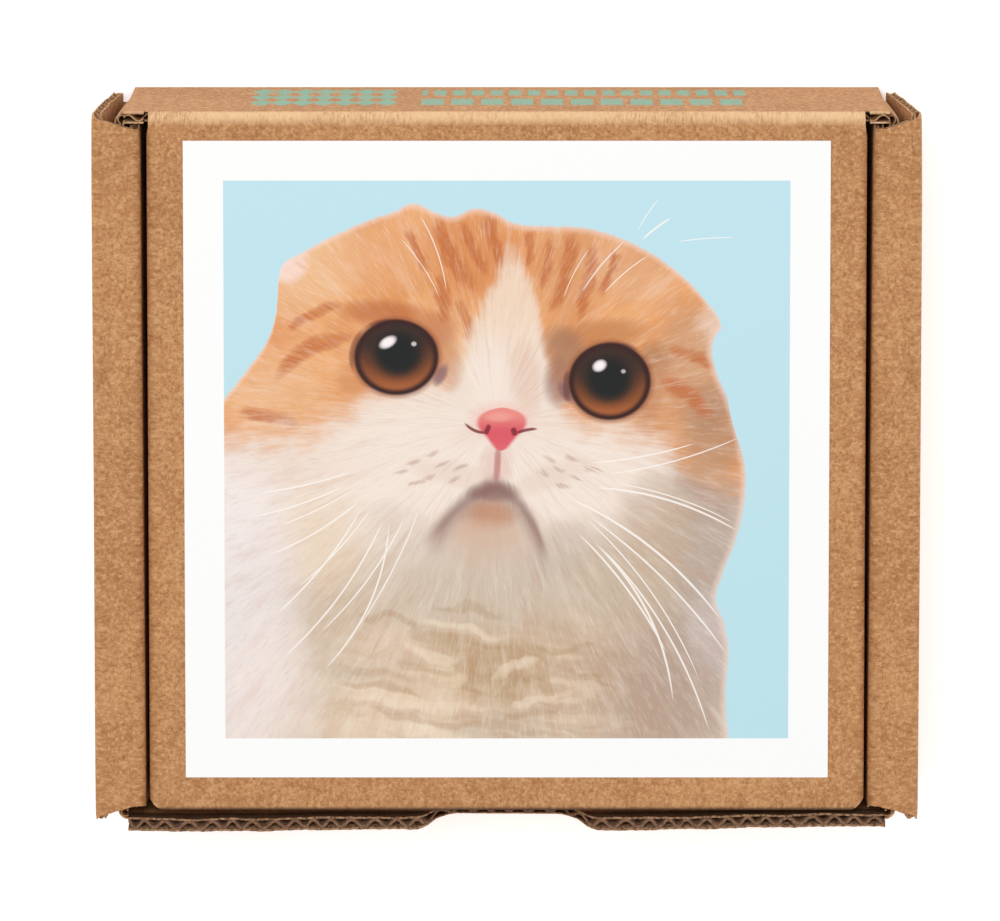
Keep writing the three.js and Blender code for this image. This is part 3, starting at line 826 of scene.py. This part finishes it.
frontLook = {
    "notchWidth": 30.0,
    "notchFlat": 16.0,
    "notchDepth": 6.0,
    "bow": 0.3,  # how far the middle of the front wall bellies out
    "notchIn": 0.6,  # how far the board at the notch gives inward
    "lean": 0.6,  # how far its top leans out
    "skew": 0.005,
    "ripple": 0.12,
    "shadeReach": (3.2, 1.6),  # painted shade on the inside near its top edge, fading out between these depths
}
bowHalf = 66  # half the width over which the front and back walls bow
slotMiddle = 30  # of the bottom's four slots, from the middle of the box
slotHalf = 10.2
frontWallLength = wallTop - board
frontPath, frontStarts = arcPath([
    straight((-(depth / 2 - halfBoard), wallTop), (0, -1), (-1, 0), frontWallLength),
    fold((-(depth / 2 - board), board), math.pi),
    straight((-(depth / 2 - board), halfBoard), (1, 0), (0, -1), depth - 2 * board),
])
bottomMiddle = frontStarts[2] + depth / 2 - board


def frontShape(across, along, out):
    y, z = frontPath(along, out)
    high = np.clip(z / wallTop, 0, 1)
    belly = frontLook["lean"] + frontLook["bow"] * (1 - (across / bowHalf) ** 2)
    belly = belly - across * frontLook["skew"] + frontLook["ripple"] * np.sin(across / 11)
    belly = belly - frontLook["notchIn"] * softly(np.abs(across), frontLook["notchWidth"] / 2 + 1, 8)
    wall = along < frontStarts[1]
    y = np.where(wall, y - belly * high, y)
    z = np.where(wall, z + high * frontLook["ripple"] * np.sin(across / 9.0 + 1.0), z)
    return taper(across, z), y, z


def frontLow(columns):
    # the thumb notch: a flat with a soft rise at each end
    return frontLook["notchDepth"] * softly(
        -np.abs(columns), -frontLook["notchWidth"] / 2, -frontLook["notchFlat"] / 2)


def bottomHole(x, y):
    beyond = (np.abs(x) > wallEnd - board) & (y < frontStarts[2] + 0.1)
    slotX = np.abs(np.abs(x) - innerFace - halfBoard) < halfBoard + 0.15
    slotY = np.abs(np.abs(y - bottomMiddle) - slotMiddle) < slotHalf
    return beyond | (slotX & slotY)


bottomHalf = boxCad["bottom_panel"][1][0]
slotEnds = (slotMiddle + slotHalf, slotMiddle - slotHalf)
bottomStations = np.array([
    0.7, 2, 6.2, 12, 18, frontWallLength - 0.02, frontWallLength + 0.35,
    frontWallLength + 0.7, frontWallLength + 1.05, frontStarts[2] + 0.1,
    bottomMiddle - slotEnds[0], bottomMiddle - slotEnds[1], bottomMiddle - 0.7,
    bottomMiddle + slotEnds[1], bottomMiddle + slotEnds[0], bottomMiddle + 55.8])
# the inside liner with painted shade near the front wall's top edge, where the gap under the lid is dark
kraftMouthShaded = kraftMaterial("kraft_inside_mouth_shaded", "inside", False, 0.15, frontLook["shadeReach"])
traySheet = boardSheet(
    "bottom_and_front_board",
    columnsBetween(-bottomHalf, bottomHalf, (-(wallEnd - board), wallEnd - board)),
    frontLow, lambda columns: np.full_like(columns, frontStarts[3]), bottomStations, frontShape,
    [kraftLiner, shadedWave, kraftMouthShaded, shadedCut], 3, bottomHole, 0.4, crush=1.0)
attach(traySheet, "tray")
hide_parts("bottom_panel", "front_wall")
print("tray sheet made")


# back wall and lid: one sheet that turns over at the hinge crease

lidLook = {
    "cornerCut": 0.9,
    "cornerStart": 1.9,
    "noseTurn": 55,  # the front edge bends down only this far, to leave the flap room
    "frontReach": 1.05,  # the lid's front edge lies this far past its crease line
    "shoulder": 1.15,  # the back wall stands this much higher beside the lid
    "foot": 0.7,  # how far the foot of the back wall stands out
    "belly": 0.3,  # how far its middle bows out
    "shadeReach": (0.3, 0.8),  # painted shade on the front edge, rising between these distances into its bend
}
backLength = wallTop - 0.1
lidEdge = lidFront - lidLook["frontReach"]
noseTurn = math.radians(lidLook["noseTurn"])
lidLength = (depth / 2 - board) - (lidEdge + board)
lidPath, lidStarts = arcPath([
    straight((hingeY, 0.1), (0, 1), (1, 0), backLength),
    fold((hingeY - halfBoard, wallTop), 0.0),
    straight((hingeY - halfBoard, creaseZ), (-1, 0), (0, 1), lidLength),
    fold((lidEdge + board, wallTop), math.pi / 2, noseTurn),
])
sideBendStart = lidHalf - board
lidSheetHalf = sideBendStart + quarter


def lidShape(across, along, out):
    y, z = lidPath(along, out)
    reach = np.abs(across)
    shoulder = (reach > lidHalf + 0.1) & (along > lidStarts[1] - 0.01)
    y = np.where(shoulder, hingeY + out, y)
    z = np.where(shoulder, 0.1 + along, z)
    turn = np.clip((reach - sideBendStart) / halfBoard, 0, math.pi / 2)
    bentX = sideBendStart + (halfBoard + out) * np.sin(turn)
    bentZ = wallTop + (z - wallTop) * np.cos(turn)
    share = softly(along, lidStarts[2] + 0.1, lidStarts[2] + 2.2) * (reach > sideBendStart)
    x = np.sign(across) * (reach * (1 - share) + bentX * share)
    z = z * (1 - share) + bentZ * share
    belly = lidLook["belly"] * (1 - (across / bowHalf) ** 2) * np.clip(z / height, 0, 1)
    belly = belly * (along < lidStarts[1])
    foot = lidLook["foot"] * np.clip(1 - z / wallTop, 0, 1) * (along < lidStarts[1] + 2)
    return taper(x, z), y + belly * np.sin(np.clip(z / height, 0, 1) * math.pi) + foot, z


def lidHigh(columns):
    cut = np.clip((np.abs(columns) - (lidHalf - lidLook["cornerStart"])) * lidLook["cornerCut"], 0, 4)
    return lidStarts[4] - cut - 0.15 * (columns > 0) * np.clip(cut, 0, 1)


def lidHole(x, y):
    # beside the lid only the back wall's shoulder stands
    reach = np.abs(x)
    aboveShoulder = y > lidStarts[1] + lidLook["shoulder"]
    slit = (reach < lidHalf + 0.4) & (y > lidStarts[1] - 1.2)
    return (reach > lidSheetHalf) & (aboveShoulder | slit)


lidStations = np.concatenate([
    [0.6, 3, 8, 13, 18, 23, lidStarts[1] - 1.2, lidStarts[1] - 0.02],
    lidStarts[1] + quarter * np.array([0.15, 0.3, 0.45, 0.6, 0.75, 0.9]),
    [lidStarts[2] + 0.05, lidStarts[2] + 0.6, lidStarts[2] + 1.2, lidStarts[2] + 2.2],
    np.linspace(lidStarts[2] + 8, lidStarts[3] - 6, 12),
    [lidStarts[3] - 2.0, lidStarts[3] - 0.02],
    lidStarts[3] + halfBoard * noseTurn * np.array([0.25, 0.5, 0.75]),
])
slitEnds = (-lidSheetHalf, lidSheetHalf, lidHalf + 0.4, -lidHalf - 0.4)
sideBend = sideBendStart + np.linspace(0, quarter, 6)
lidColumns = np.unique(np.concatenate([
    columnsBetween(-(wallEnd - board), wallEnd - board, slitEnds), sideBend, -sideBend]))
shadeStart, shadeEnd = lidLook["shadeReach"]
# printed marks, a painted highlight on the hinge crease and painted shade on the front edge
kraftPrinted = kraftMaterial("kraft_liner_printed", "liner", True,
                             paintedShade=(lidStarts[3] + shadeStart, lidStarts[3] + shadeEnd))
lidSheet = boardSheet(
    "back_and_lid_board", lidColumns, lambda columns: np.zeros_like(columns), lidHigh,
    lidStations, lidShape, [kraftPrinted, kraftWave, kraftInside, kraftCut], 5, lidHole, 1.9,
    raggedLow=False, raggedHigh=False)
hingeY * mm
(creaseZ - 1.3) * mm
(hingeY - 1.3) * mm
creaseZ * mm
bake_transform(lidSheet)
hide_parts("back_wall", "lid_panel")
print("lid sheet made")


# rolled side walls: outer wall, top and inner wall in one sheet

rollLook = {
    "outerHalf": 58.3,  # half lengths of the outer wall, the top's two sides and the inner wall
    "topLong": 57.4,
    "topShort": 55.9,
    "innerHalf": 56.3,
    "bulge": 0.3,
    "ripple": 0.12,
    "drawIn": 0.22,  # the roll draws in towards the front
    "footLean": 0.5,  # the foot leans in, and more so at the wall's ends
    "frontLean": 0.4,
    "endLean": {-1: 1.2, 1: 1.9},
    "endStart": 44,
    "tabHalf": 9.9,  # of the tabs in the bottom's slots
    "tabReach": 1.4,
}
topRun = width / 2 - board - (innerFace + board)
rollPath, rollStarts = arcPath([
    straight((width / 2 - halfBoard, 0.2), (0, 1), (1, 0), wallTop - 0.2),
    fold((width / 2 - board, wallTop), 0.0),
    straight((width / 2 - board, creaseZ), (-1, 0), (0, 1), topRun),
    fold((innerFace + board, wallTop), math.pi / 2),
    straight((innerFace + halfBoard, wallTop), (0, -1), (-1, 0), wallTop - board + rollLook["tabReach"]),
])
foldColumns = np.linspace(0, quarter, 9)
rollColumns = np.unique(np.concatenate([
    columnsBetween(0, rollStarts[5]), rollStarts[1] + foldColumns, rollStarts[3] + foldColumns]))


def rollHalf(columns):
    outerEnd, innerStart = rollStarts[1], rollStarts[4]
    places = [0, outerEnd + 0.2, outerEnd + 1.0, rollStarts[3], innerStart, innerStart + 0.5]
    names = ["outerHalf", "outerHalf", "topLong", "topShort", "topShort", "innerHalf"]
    return np.interp(columns, places, [rollLook[name] for name in names])


def rollHole(x, y):
    # below the inner wall's foot only its tabs go on
    return (x > rollStarts[4] + wallTop - board) & (np.abs(np.abs(y) - slotMiddle) > rollLook["tabHalf"])


rollRows = np.array([10, 19.9, 20.1, 30, 39.9, 40.1, 45, 52, 55.2, 56.6, 57.6])
for side, sign in (("left", -1), ("right", 1)):
    def rollShape(across, along, out, sign=sign):
        x, z = rollPath(across, out)
        low = np.clip(1 - np.abs(z - height / 2) / (height / 2), 0, 1)
        x = x + rollLook["bulge"] * low * np.sin(along / 31.0 + sign) * (x > width / 2 - 2.5)
        z = z + rollLook["ripple"] * np.sin(along / 14.0 + 2 * sign) * (z > wallTop)
        x = x + rollLook["drawIn"] * np.clip(along / 58, -1, 1) * (across > rollStarts[2])
        foot = np.clip(1 - z / height, 0, 1) * (across < rollStarts[2])
        ends = (rollLook["endStart"], rollLook["outerHalf"])
        backLean = rollLook["endLean"][sign] * softly(along, *ends)
        frontLean = rollLook["frontLean"] * softly(-along, *ends)
        x = x - foot * (rollLook["footLean"] + backLean + frontLean)
        return sign * taper(x, z), along, z

    roll = boardSheet(
        side + "_rolled_board", rollColumns, lambda columns: -rollHalf(columns), rollHalf,
        np.concatenate([-rollRows[::-1], [0], rollRows]),
        rollShape, plainBoard, 11 + sign, rollHole, 0.9 * sign)
    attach(roll, "tray")
    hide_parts(side + "_outer_wall", side + "_rolled_top", side + "_inner_wall")
print("side rolls made")


# corner tabs, folded in from the ends of the front and back walls

tabLook = {
    "narrowing": 6,  # at each side, towards the tab's end
    "lean": 0.35,
    "backLean": 0.9,  # at the foot of the back tabs
    "stub": 0.02,  # how much of the wall's own run the sheet begins with
}
tabCorners = boxCad["front_left_corner_tab"]
tabReach = tabCorners[1][1] - tabCorners[0][1]
tabLow = tabCorners[0][2]
tabHigh = tabCorners[1][2]
tabRoot = depth / 2 - board
tabPath, tabStarts = arcPath([
    straight((wallEnd - board - tabLook["stub"], -(depth / 2 - halfBoard)), (1, 0), (0, -1),
             tabLook["stub"]),
    fold((wallEnd - board, -tabRoot), -math.pi / 2),
    straight((tabMiddle, -tabRoot), (0, 1), (1, 0), tabReach - 0.2),
])
tabColumns = np.unique(np.concatenate([columnsBetween(0, tabStarts[3]), tabStarts[1] + foldColumns]))


def tabNarrowing(columns):
    return tabLook["narrowing"] * np.clip(columns / tabStarts[3], 0, 1)


for end, endSign in (("front", 1), ("back", -1)):
    for side, sign in (("left", -1), ("right", 1)):
        def tabShape(across, along, out, sign=sign, endSign=endSign):
            x, y = tabPath(across, out)
            lean = tabLook["lean"] * np.clip(across / tabStarts[3], 0, 1)
            lean = lean + tabLook["backLean"] * np.clip(1 - along / height, 0, 1) * (endSign < 0)
            return taper(sign * (x - lean), along), endSign * y, along

        tab = boardSheet(
            end + "_" + side + "_corner_tab_board", tabColumns,
            lambda columns: tabLow + tabNarrowing(columns),
            lambda columns: tabHigh + 0.1 - tabNarrowing(columns),
            np.linspace(tabLow + 7, tabHigh - 7, 3), tabShape,
            plainBoard, 20 + sign + 2 * endSign, None, 0.3)
        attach(tab, "tray")
        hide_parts(end + "_" + side + "_corner_tab")
print("corner tabs made")


# tuck flap and lid ears hang from the lid's creases

flapLook = {
    "height": 20.0,
    "lean": 6.0,
    "corner": 7.0,
    "top": 1.02,  # how far below the crease it starts
    "outerRise": 0.07,  # its outer side reaches higher, to close the crease when it is out
}
flapHalf = boxCad["tuck_flap"][1][0]
flapLean = math.radians(flapLook["lean"])


def flapShape(across, along, out):
    along = along - flapLook["outerRise"] * np.clip(out / halfBoard, 0, 1) * (along < 2)
    y = flapAxisY + along * math.sin(flapLean) - out * math.cos(flapLean)
    z = creaseZ - along * math.cos(flapLean) - out * math.sin(flapLean)
    return across, y, z


def flapHigh(columns):
    past = np.clip((np.abs(columns) - (flapHalf - flapLook["corner"])) / flapLook["corner"], 0, 0.999)
    return flapLook["height"] - flapLook["corner"] * (1 - np.sqrt(1 - past * past))


flapBoard = boardSheet(
    "tuck_flap_board", columnsBetween(-flapHalf, flapHalf),
    lambda columns: np.full_like(columns, flapLook["top"]), flapHigh,
    np.array([3.0, 6, 9, 12.5, 15, 17, 19]), flapShape,
    plainBoard, 31, None, 1.9, raggedLow=False)
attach(flapBoard, "tuck_flap")
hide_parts("tuck_flap")

earLook = {
    "height": 17.0,
    "lean": 6.0,
    "top": 1.22,
    "frontSlant": 3,  # how much shorter it grows at each end, towards its tip
    "backSlant": 9,
}
earLean = math.radians(earLook["lean"])
earFront = boxCad["left_lid_ear"][0][1]
earBack = boxCad["left_lid_ear"][1][1]
for side, sign in (("left", -1), ("right", 1)):
    def earShape(across, along, out, sign=sign):
        x = earAxisX - across * math.sin(earLean) + out * math.cos(earLean)
        z = creaseZ - across * math.cos(earLean) - out * math.sin(earLean)
        return sign * x, along, z

    ear = boardSheet(
        side + "_ear_board", columnsBetween(earLook["top"], earLook["height"]),
        lambda columns: earFront + earLook["frontSlant"] * columns / earLook["height"],
        lambda columns: earBack - earLook["backSlant"] * columns / earLook["height"],
        np.linspace(earFront + 5, earBack - 12, 8), earShape,
        plainBoard, 41 + sign, None, 0.2)
    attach(ear, side + "_ear")
    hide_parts(side + "_lid_ear")
print("flap and ears made")


# the printed picture, on the label and on the pieces

printLook = {
    "side": 92.0,  # of the printed square on the label
    "paper": (255, 255, 254),
    "paperLow": (252, 252, 251),
    "cells": 60,  # along each side of the label
    "ripple": 0.012,  # the board's wave shows faintly through the label
    "lift": 0.03,
}


def pictureMaterial():
    maker = Maker("printed_picture")
    x, y = maker.apart(maker.attribute("picturePlace"))[:2]
    picture = paintCat(maker, x, y)
    inside = maker.step((abs(x - 50)).most(abs(y - 50)), 50.06, 49.94)
    paper = maker.noise(maker.together(x * 1.3, y * 1.3, 0.0), 3.0, 2.0, 0.6)
    grain = maker.step(paper, 0.3, 0.7)
    paperColour = maker.mix(grain, tint(*printLook["paper"]), tint(*printLook["paperLow"]))
    return maker.finish({
        "Base Color": maker.mix(inside, paperColour, picture),
        "Roughness": 0.46 + grain * 0.12,
        "Specular IOR Level": 0.3,
        "Normal": maker.bump(paper, 0.08, 0.00005),
    })


printedPicture = pictureMaterial()
greyboard = fibreMaterial("greyboard", (150, 142, 132), (186, 178, 166), greyLook)
labelLow, labelHigh = boxCad["picture_label"]
labelX, labelY = [
    np.linspace(low, high, printLook["cells"] + 1) for low, high in zip(labelLow[:2], labelHigh[:2])]
labelAcross, labelAlong = np.meshgrid(labelX, labelY, indexing="ij")
rise = printLook["ripple"] * np.sin(labelAcross * 2 * math.pi / flute)
labelTop = np.stack([labelAcross, labelAlong, labelHigh[2] + rise], 2)
labelUnder = np.stack([labelAcross, labelAlong, height + printLook["lift"] + rise], 2)
labelPoints, *labelFaces, labelPlace = layerMesh(
    labelAcross, labelAlong, labelUnder, labelTop, np.ones((printLook["cells"],) * 2, bool))
labelFaces = np.concatenate(labelFaces)
labelMiddle = (labelLow + labelHigh) / 2
pictureAt = (labelPlace - labelMiddle[:2]) / printLook["side"] * 100 + 50
label = meshPiece(
    "picture_label_paper", labelPoints * mm, labelFaces, np.zeros(len(labelFaces), int),
    [printedPicture], np.column_stack([pictureAt, np.zeros(len(pictureAt))]), "picturePlace")
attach(label, "lid")
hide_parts("picture_label")
print("label made")


# jigsaw pieces, heaped in layers

puzzleLook = {
    "count": 6,  # pieces along each side
    "side": 21.0,
    "thickness": 2.0,
    "knobReach": 0.25,  # as a share of the side
    "edgeRound": 0.3,
    "layers": 4,
    "cells": 3,  # places along each side of a layer
    "stride": 7,  # neighbours in the picture lie this many places apart in the heap
    "spacing": 35.5,
    "jitter": 1.6,
    "shiftY": 1.85,
    "layerSpacing": 3.0,
    "gap": 0.2,
    "lowTilt": 1.2,
    "topTilt": 5.0,
    "turnStep": 2.399963,  # each piece is turned this much more than the last, in radians
    "faceDown": 5,  # one piece in this many lies face down
}


def curvePoints(points, steps):
    # a Bezier curve through its control points, without its first point
    share = np.linspace(0, 1, steps + 1)[1:, None]
    level = [np.array(point)[None, :] for point in points]
    while len(level) > 1:
        level = [a * (1 - share) + b * share for a, b in zip(level, level[1:])]
    return level[0].tolist()


def pieceOutline(column, row):
    half = puzzleLook["side"] / 2
    corners = [(-half, -half), (half, -half), (half, half), (-half, half)]
    turn = 1 if (column + row) % 2 == 0 else -1
    last = puzzleLook["count"] - 1
    rims = [row == 0, column == last, row == last, column == 0]
    line = []
    for place, corner in enumerate(corners):
        corner = np.array(corner)
        following = np.array(corners[(place + 1) % 4])
        along = following - corner
        away = np.array([along[1], -along[0]])
        bulge = 0 if rims[place] else turn * (1 if place % 2 == 0 else -1)
        if bulge:
            def at(t, d):
                return corner + along * t + away * d * bulge
            reach = puzzleLook["knobReach"]
            line += [at(0.18, -0.012), at(0.36, -0.02), at(0.43, 0.035)]
            line += curvePoints([at(0.43, 0.035), at(0.41, 0.09), at(0.385, 0.15)], 4)
            line += curvePoints([at(0.385, 0.15), at(0.37, 0.22), at(0.43, reach), at(0.5, reach)], 7)
            line += curvePoints([at(0.5, reach), at(0.57, reach), at(0.63, 0.22), at(0.615, 0.15)], 7)
            line += curvePoints([at(0.615, 0.15), at(0.59, 0.09), at(0.57, 0.035)], 4)
            line += [at(0.64, -0.02), at(0.82, -0.012)]
        line.append(following)
    return np.array([list(point) for point in line])


def turnAbout(axis, angle):
    x, y, z = axis
    c, s = math.cos(angle), math.sin(angle)
    return np.array([
        [c + x * x * (1 - c), x * y * (1 - c) - z * s, x * z * (1 - c) + y * s],
        [y * x * (1 - c) + z * s, c + y * y * (1 - c), y * z * (1 - c) - x * s],
        [z * x * (1 - c) - y * s, z * y * (1 - c) + x * s, c + z * z * (1 - c)],
    ])


def insetLine(line, amount):
    # each point moves in along the mean normal of its two sides
    before = line - np.roll(line, 1, 0)
    after = np.roll(line, -1, 0) - line
    before = before / np.linalg.norm(before, axis=1)[:, None]
    after = after / np.linalg.norm(after, axis=1)[:, None]
    mean = before + after
    mean = mean / np.linalg.norm(mean, axis=1)[:, None]
    return line + amount * np.column_stack([-mean[:, 1], mean[:, 0]])


def pieceShape(column, row):
    # rings of points from the grey back to the printed face, with its rounded edge
    line = pieceOutline(column, row)
    count = len(line)
    half, rounding = puzzleLook["thickness"] / 2, puzzleLook["edgeRound"]
    rings = [(line, -half), (line, half - rounding),
             (insetLine(line, rounding * 0.3), half - rounding * 0.3), (insetLine(line, rounding), half)]
    points = np.concatenate([np.column_stack([ring, np.full(count, level)]) for ring, level in rings])
    faces, marks = [], []
    for ring in range(3):
        for corner in range(count):
            following = (corner + 1) % count
            faces.append([ring * count + corner, ring * count + following,
                          (ring + 1) * count + following, (ring + 1) * count + corner])
            marks.append(1 if ring == 0 else 0)
    faces += [list(range(3 * count, 4 * count)), list(range(count))[::-1]]
    return points, faces, marks + [0, 1]


def pieceTurn(index, tilt):
    lean = 1.3 * index
    turn = turnAbout((math.cos(lean), math.sin(lean), 0), tilt)
    turn = turn @ turnAbout((0, 0, 1), puzzleLook["turnStep"] * index)
    if index % puzzleLook["faceDown"] == 2:
        turn = turn @ turnAbout((1, 0, 0), math.pi)
    return turn


def pieceCentre(index, layer, cell, rise):
    spread, jitter = puzzleLook["spacing"], puzzleLook["jitter"]
    return np.array([
        (cell % puzzleLook["cells"] - 1) * spread + jitter * math.sin(2.4 * index),
        (cell // puzzleLook["cells"] - 1) * spread + jitter * math.cos(1.7 * index) + puzzleLook["shiftY"],
        board + puzzleLook["gap"] + puzzleLook["thickness"] / 2 + layer * puzzleLook["layerSpacing"] + rise,
    ])


pieceReach = puzzleLook["side"] * (0.5 + puzzleLook["knobReach"])
pieceCount = puzzleLook["count"] ** 2
for index in range(pieceCount):
    column, row = index % puzzleLook["count"], index // puzzleLook["count"]
    layer, cell = divmod((index * puzzleLook["stride"] + 3) % pieceCount, puzzleLook["cells"] ** 2)
    isTop = layer == puzzleLook["layers"] - 1
    tilt = 0.0 if layer == 0 else math.radians(puzzleLook["topTilt" if isTop else "lowTilt"])
    points, faces, marks = pieceShape(column, row)
    picture = points[:, :2] + [(column + 0.5) * puzzleLook["side"], (row + 0.5) * puzzleLook["side"]]
    picture = picture / (puzzleLook["side"] * puzzleLook["count"]) * 100
    places = np.column_stack([picture, points[:, 2]])
    centre = pieceCentre(index, layer, cell, pieceReach * math.sin(tilt) if isTop else 0)
    data = bpy.data.meshes.new("jigsaw_%02d" % (index + 1))
    data.from_pydata(((points @ pieceTurn(index, tilt).T + centre) * mm).tolist(), [], faces)
    data.polygons.foreach_set("material_index", np.array(marks, np.int32))
    data.polygons.foreach_set("use_smooth", np.ones(len(faces), bool))
    spotAt = data.attributes.new("picturePlace", "FLOAT_VECTOR", "POINT")
    spotAt.data.foreach_set("vector", places.astype(np.float32).ravel())
    data.materials.append(printedPicture)
    data.materials.append(greyboard)
    data.set_sharp_from_angle(angle=math.radians(30))
    data.update()
    piece = bpy.data.objects.new("jigsaw_%02d" % (index + 1), data)
    bpy.context.scene.collection.objects.link(piece)
    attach(piece, "puzzle")
    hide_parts("puzzle_piece_%02d" % (index + 1))
print("jigsaw pieces made")


# floor, light and camera

stageLook = {
    "floor": (253, 253, 253),
    "floorLow": (250, 250, 250),
    "floorHalf": 4,  # metres
    "floorDrop": 0.0002,
    "floorGlow": 0.4,
    "worldStrength": 0.59,
    "keyPower": 5.7,
    "keySize": 0.9,
    "keyPlace": (-0.25, 0.38, 1.15),
    "fillPower": 1.66,
    "fillSize": 1.2,
    "fillPlace": (0.7, -0.2, 0.9),
}
floorMaker = Maker("pale_floor")
floorPlace = floorMaker.node("ShaderNodeTexCoord", {}, {}, 3)
floorCloud = floorMaker.noise(floorPlace, 2.0, 2.0, 0.5)
floorColour = floorMaker.mix(
    floorMaker.step(floorCloud, 0.3, 0.7), tint(*stageLook["floor"]), tint(*stageLook["floorLow"]))
floorMaterial = floorMaker.finish({
    "Base Color": floorColour,
    "Roughness": 0.9,
    "Specular IOR Level": 0.1,
    "Emission Color": (1.0, 1.0, 1.0, 1.0),
    "Emission Strength": stageLook["floorGlow"],
})
floorCorners = [(x * stageLook["floorHalf"], y * stageLook["floorHalf"], -stageLook["floorDrop"])
                for x, y in ((-1, -1), (1, -1), (1, 1), (-1, 1))]
floorData = bpy.data.meshes.new("floor")
floorData.from_pydata(floorCorners, [], [(0, 1, 2, 3)])
floorData.materials.append(floorMaterial)
floor = bpy.data.objects.new("floor", floorData)
bpy.context.scene.collection.objects.link(floor)

world = bpy.data.worlds.new("studio")
world.use_nodes = True
background = world.node_tree.nodes["Background"]
background.inputs[0].default_value = (1.0, 1.0, 1.0, 1.0)
background.inputs[1].default_value = stageLook["worldStrength"]
bpy.context.scene.world = world


def softLight(kind):
    # a round lamp that faces the middle of the floor
    place = stageLook[kind + "Place"]
    lamp = bpy.data.lights.new(kind + "_light", "AREA")
    lamp.shape = "DISK"
    lamp.size = stageLook[kind + "Size"]
    lamp.energy = stageLook[kind + "Power"]
    made = bpy.data.objects.new(kind + "_light", lamp)
    made.location = place
    x, y, z = [-a for a in place]
    made.rotation_euler = (math.atan2(math.hypot(x, y), -z), 0, math.atan2(x, -y) + math.pi)
    bpy.context.scene.collection.objects.link(made)


softLight("key")
softLight("fill")

cameraLook = {
    "distance": 1700.0,
    "tilt": 9.3,
    "target": (-1.1, 1.5, 28.0),
    "frameWidth": 162.8,  # how wide the view is at the lid
    "sensor": 36,
}
tiltAngle = math.radians(cameraLook["tilt"])
cameraData = bpy.data.cameras.new("camera")
cameraData.sensor_width = cameraLook["sensor"]
cameraData.lens = cameraLook["sensor"] * cameraLook["distance"] / cameraLook["frameWidth"]
cameraData.clip_start = 0.01
cameraData.clip_end = 50
camera = bpy.data.objects.new("camera", cameraData)
targetX, targetY, targetZ = cameraLook["target"]
camera.location = (targetX * mm, (targetY + cameraLook["distance"] * math.sin(tiltAngle)) * mm,
                   (targetZ + cameraLook["distance"] * math.cos(tiltAngle)) * mm)
camera.rotation_euler = (-tiltAngle, 0, 0)
bpy.context.scene.collection.objects.link(camera)
bpy.context.scene.camera = camera
bpy.context.scene.view_settings.view_transform = "Standard"

print("scene finished")
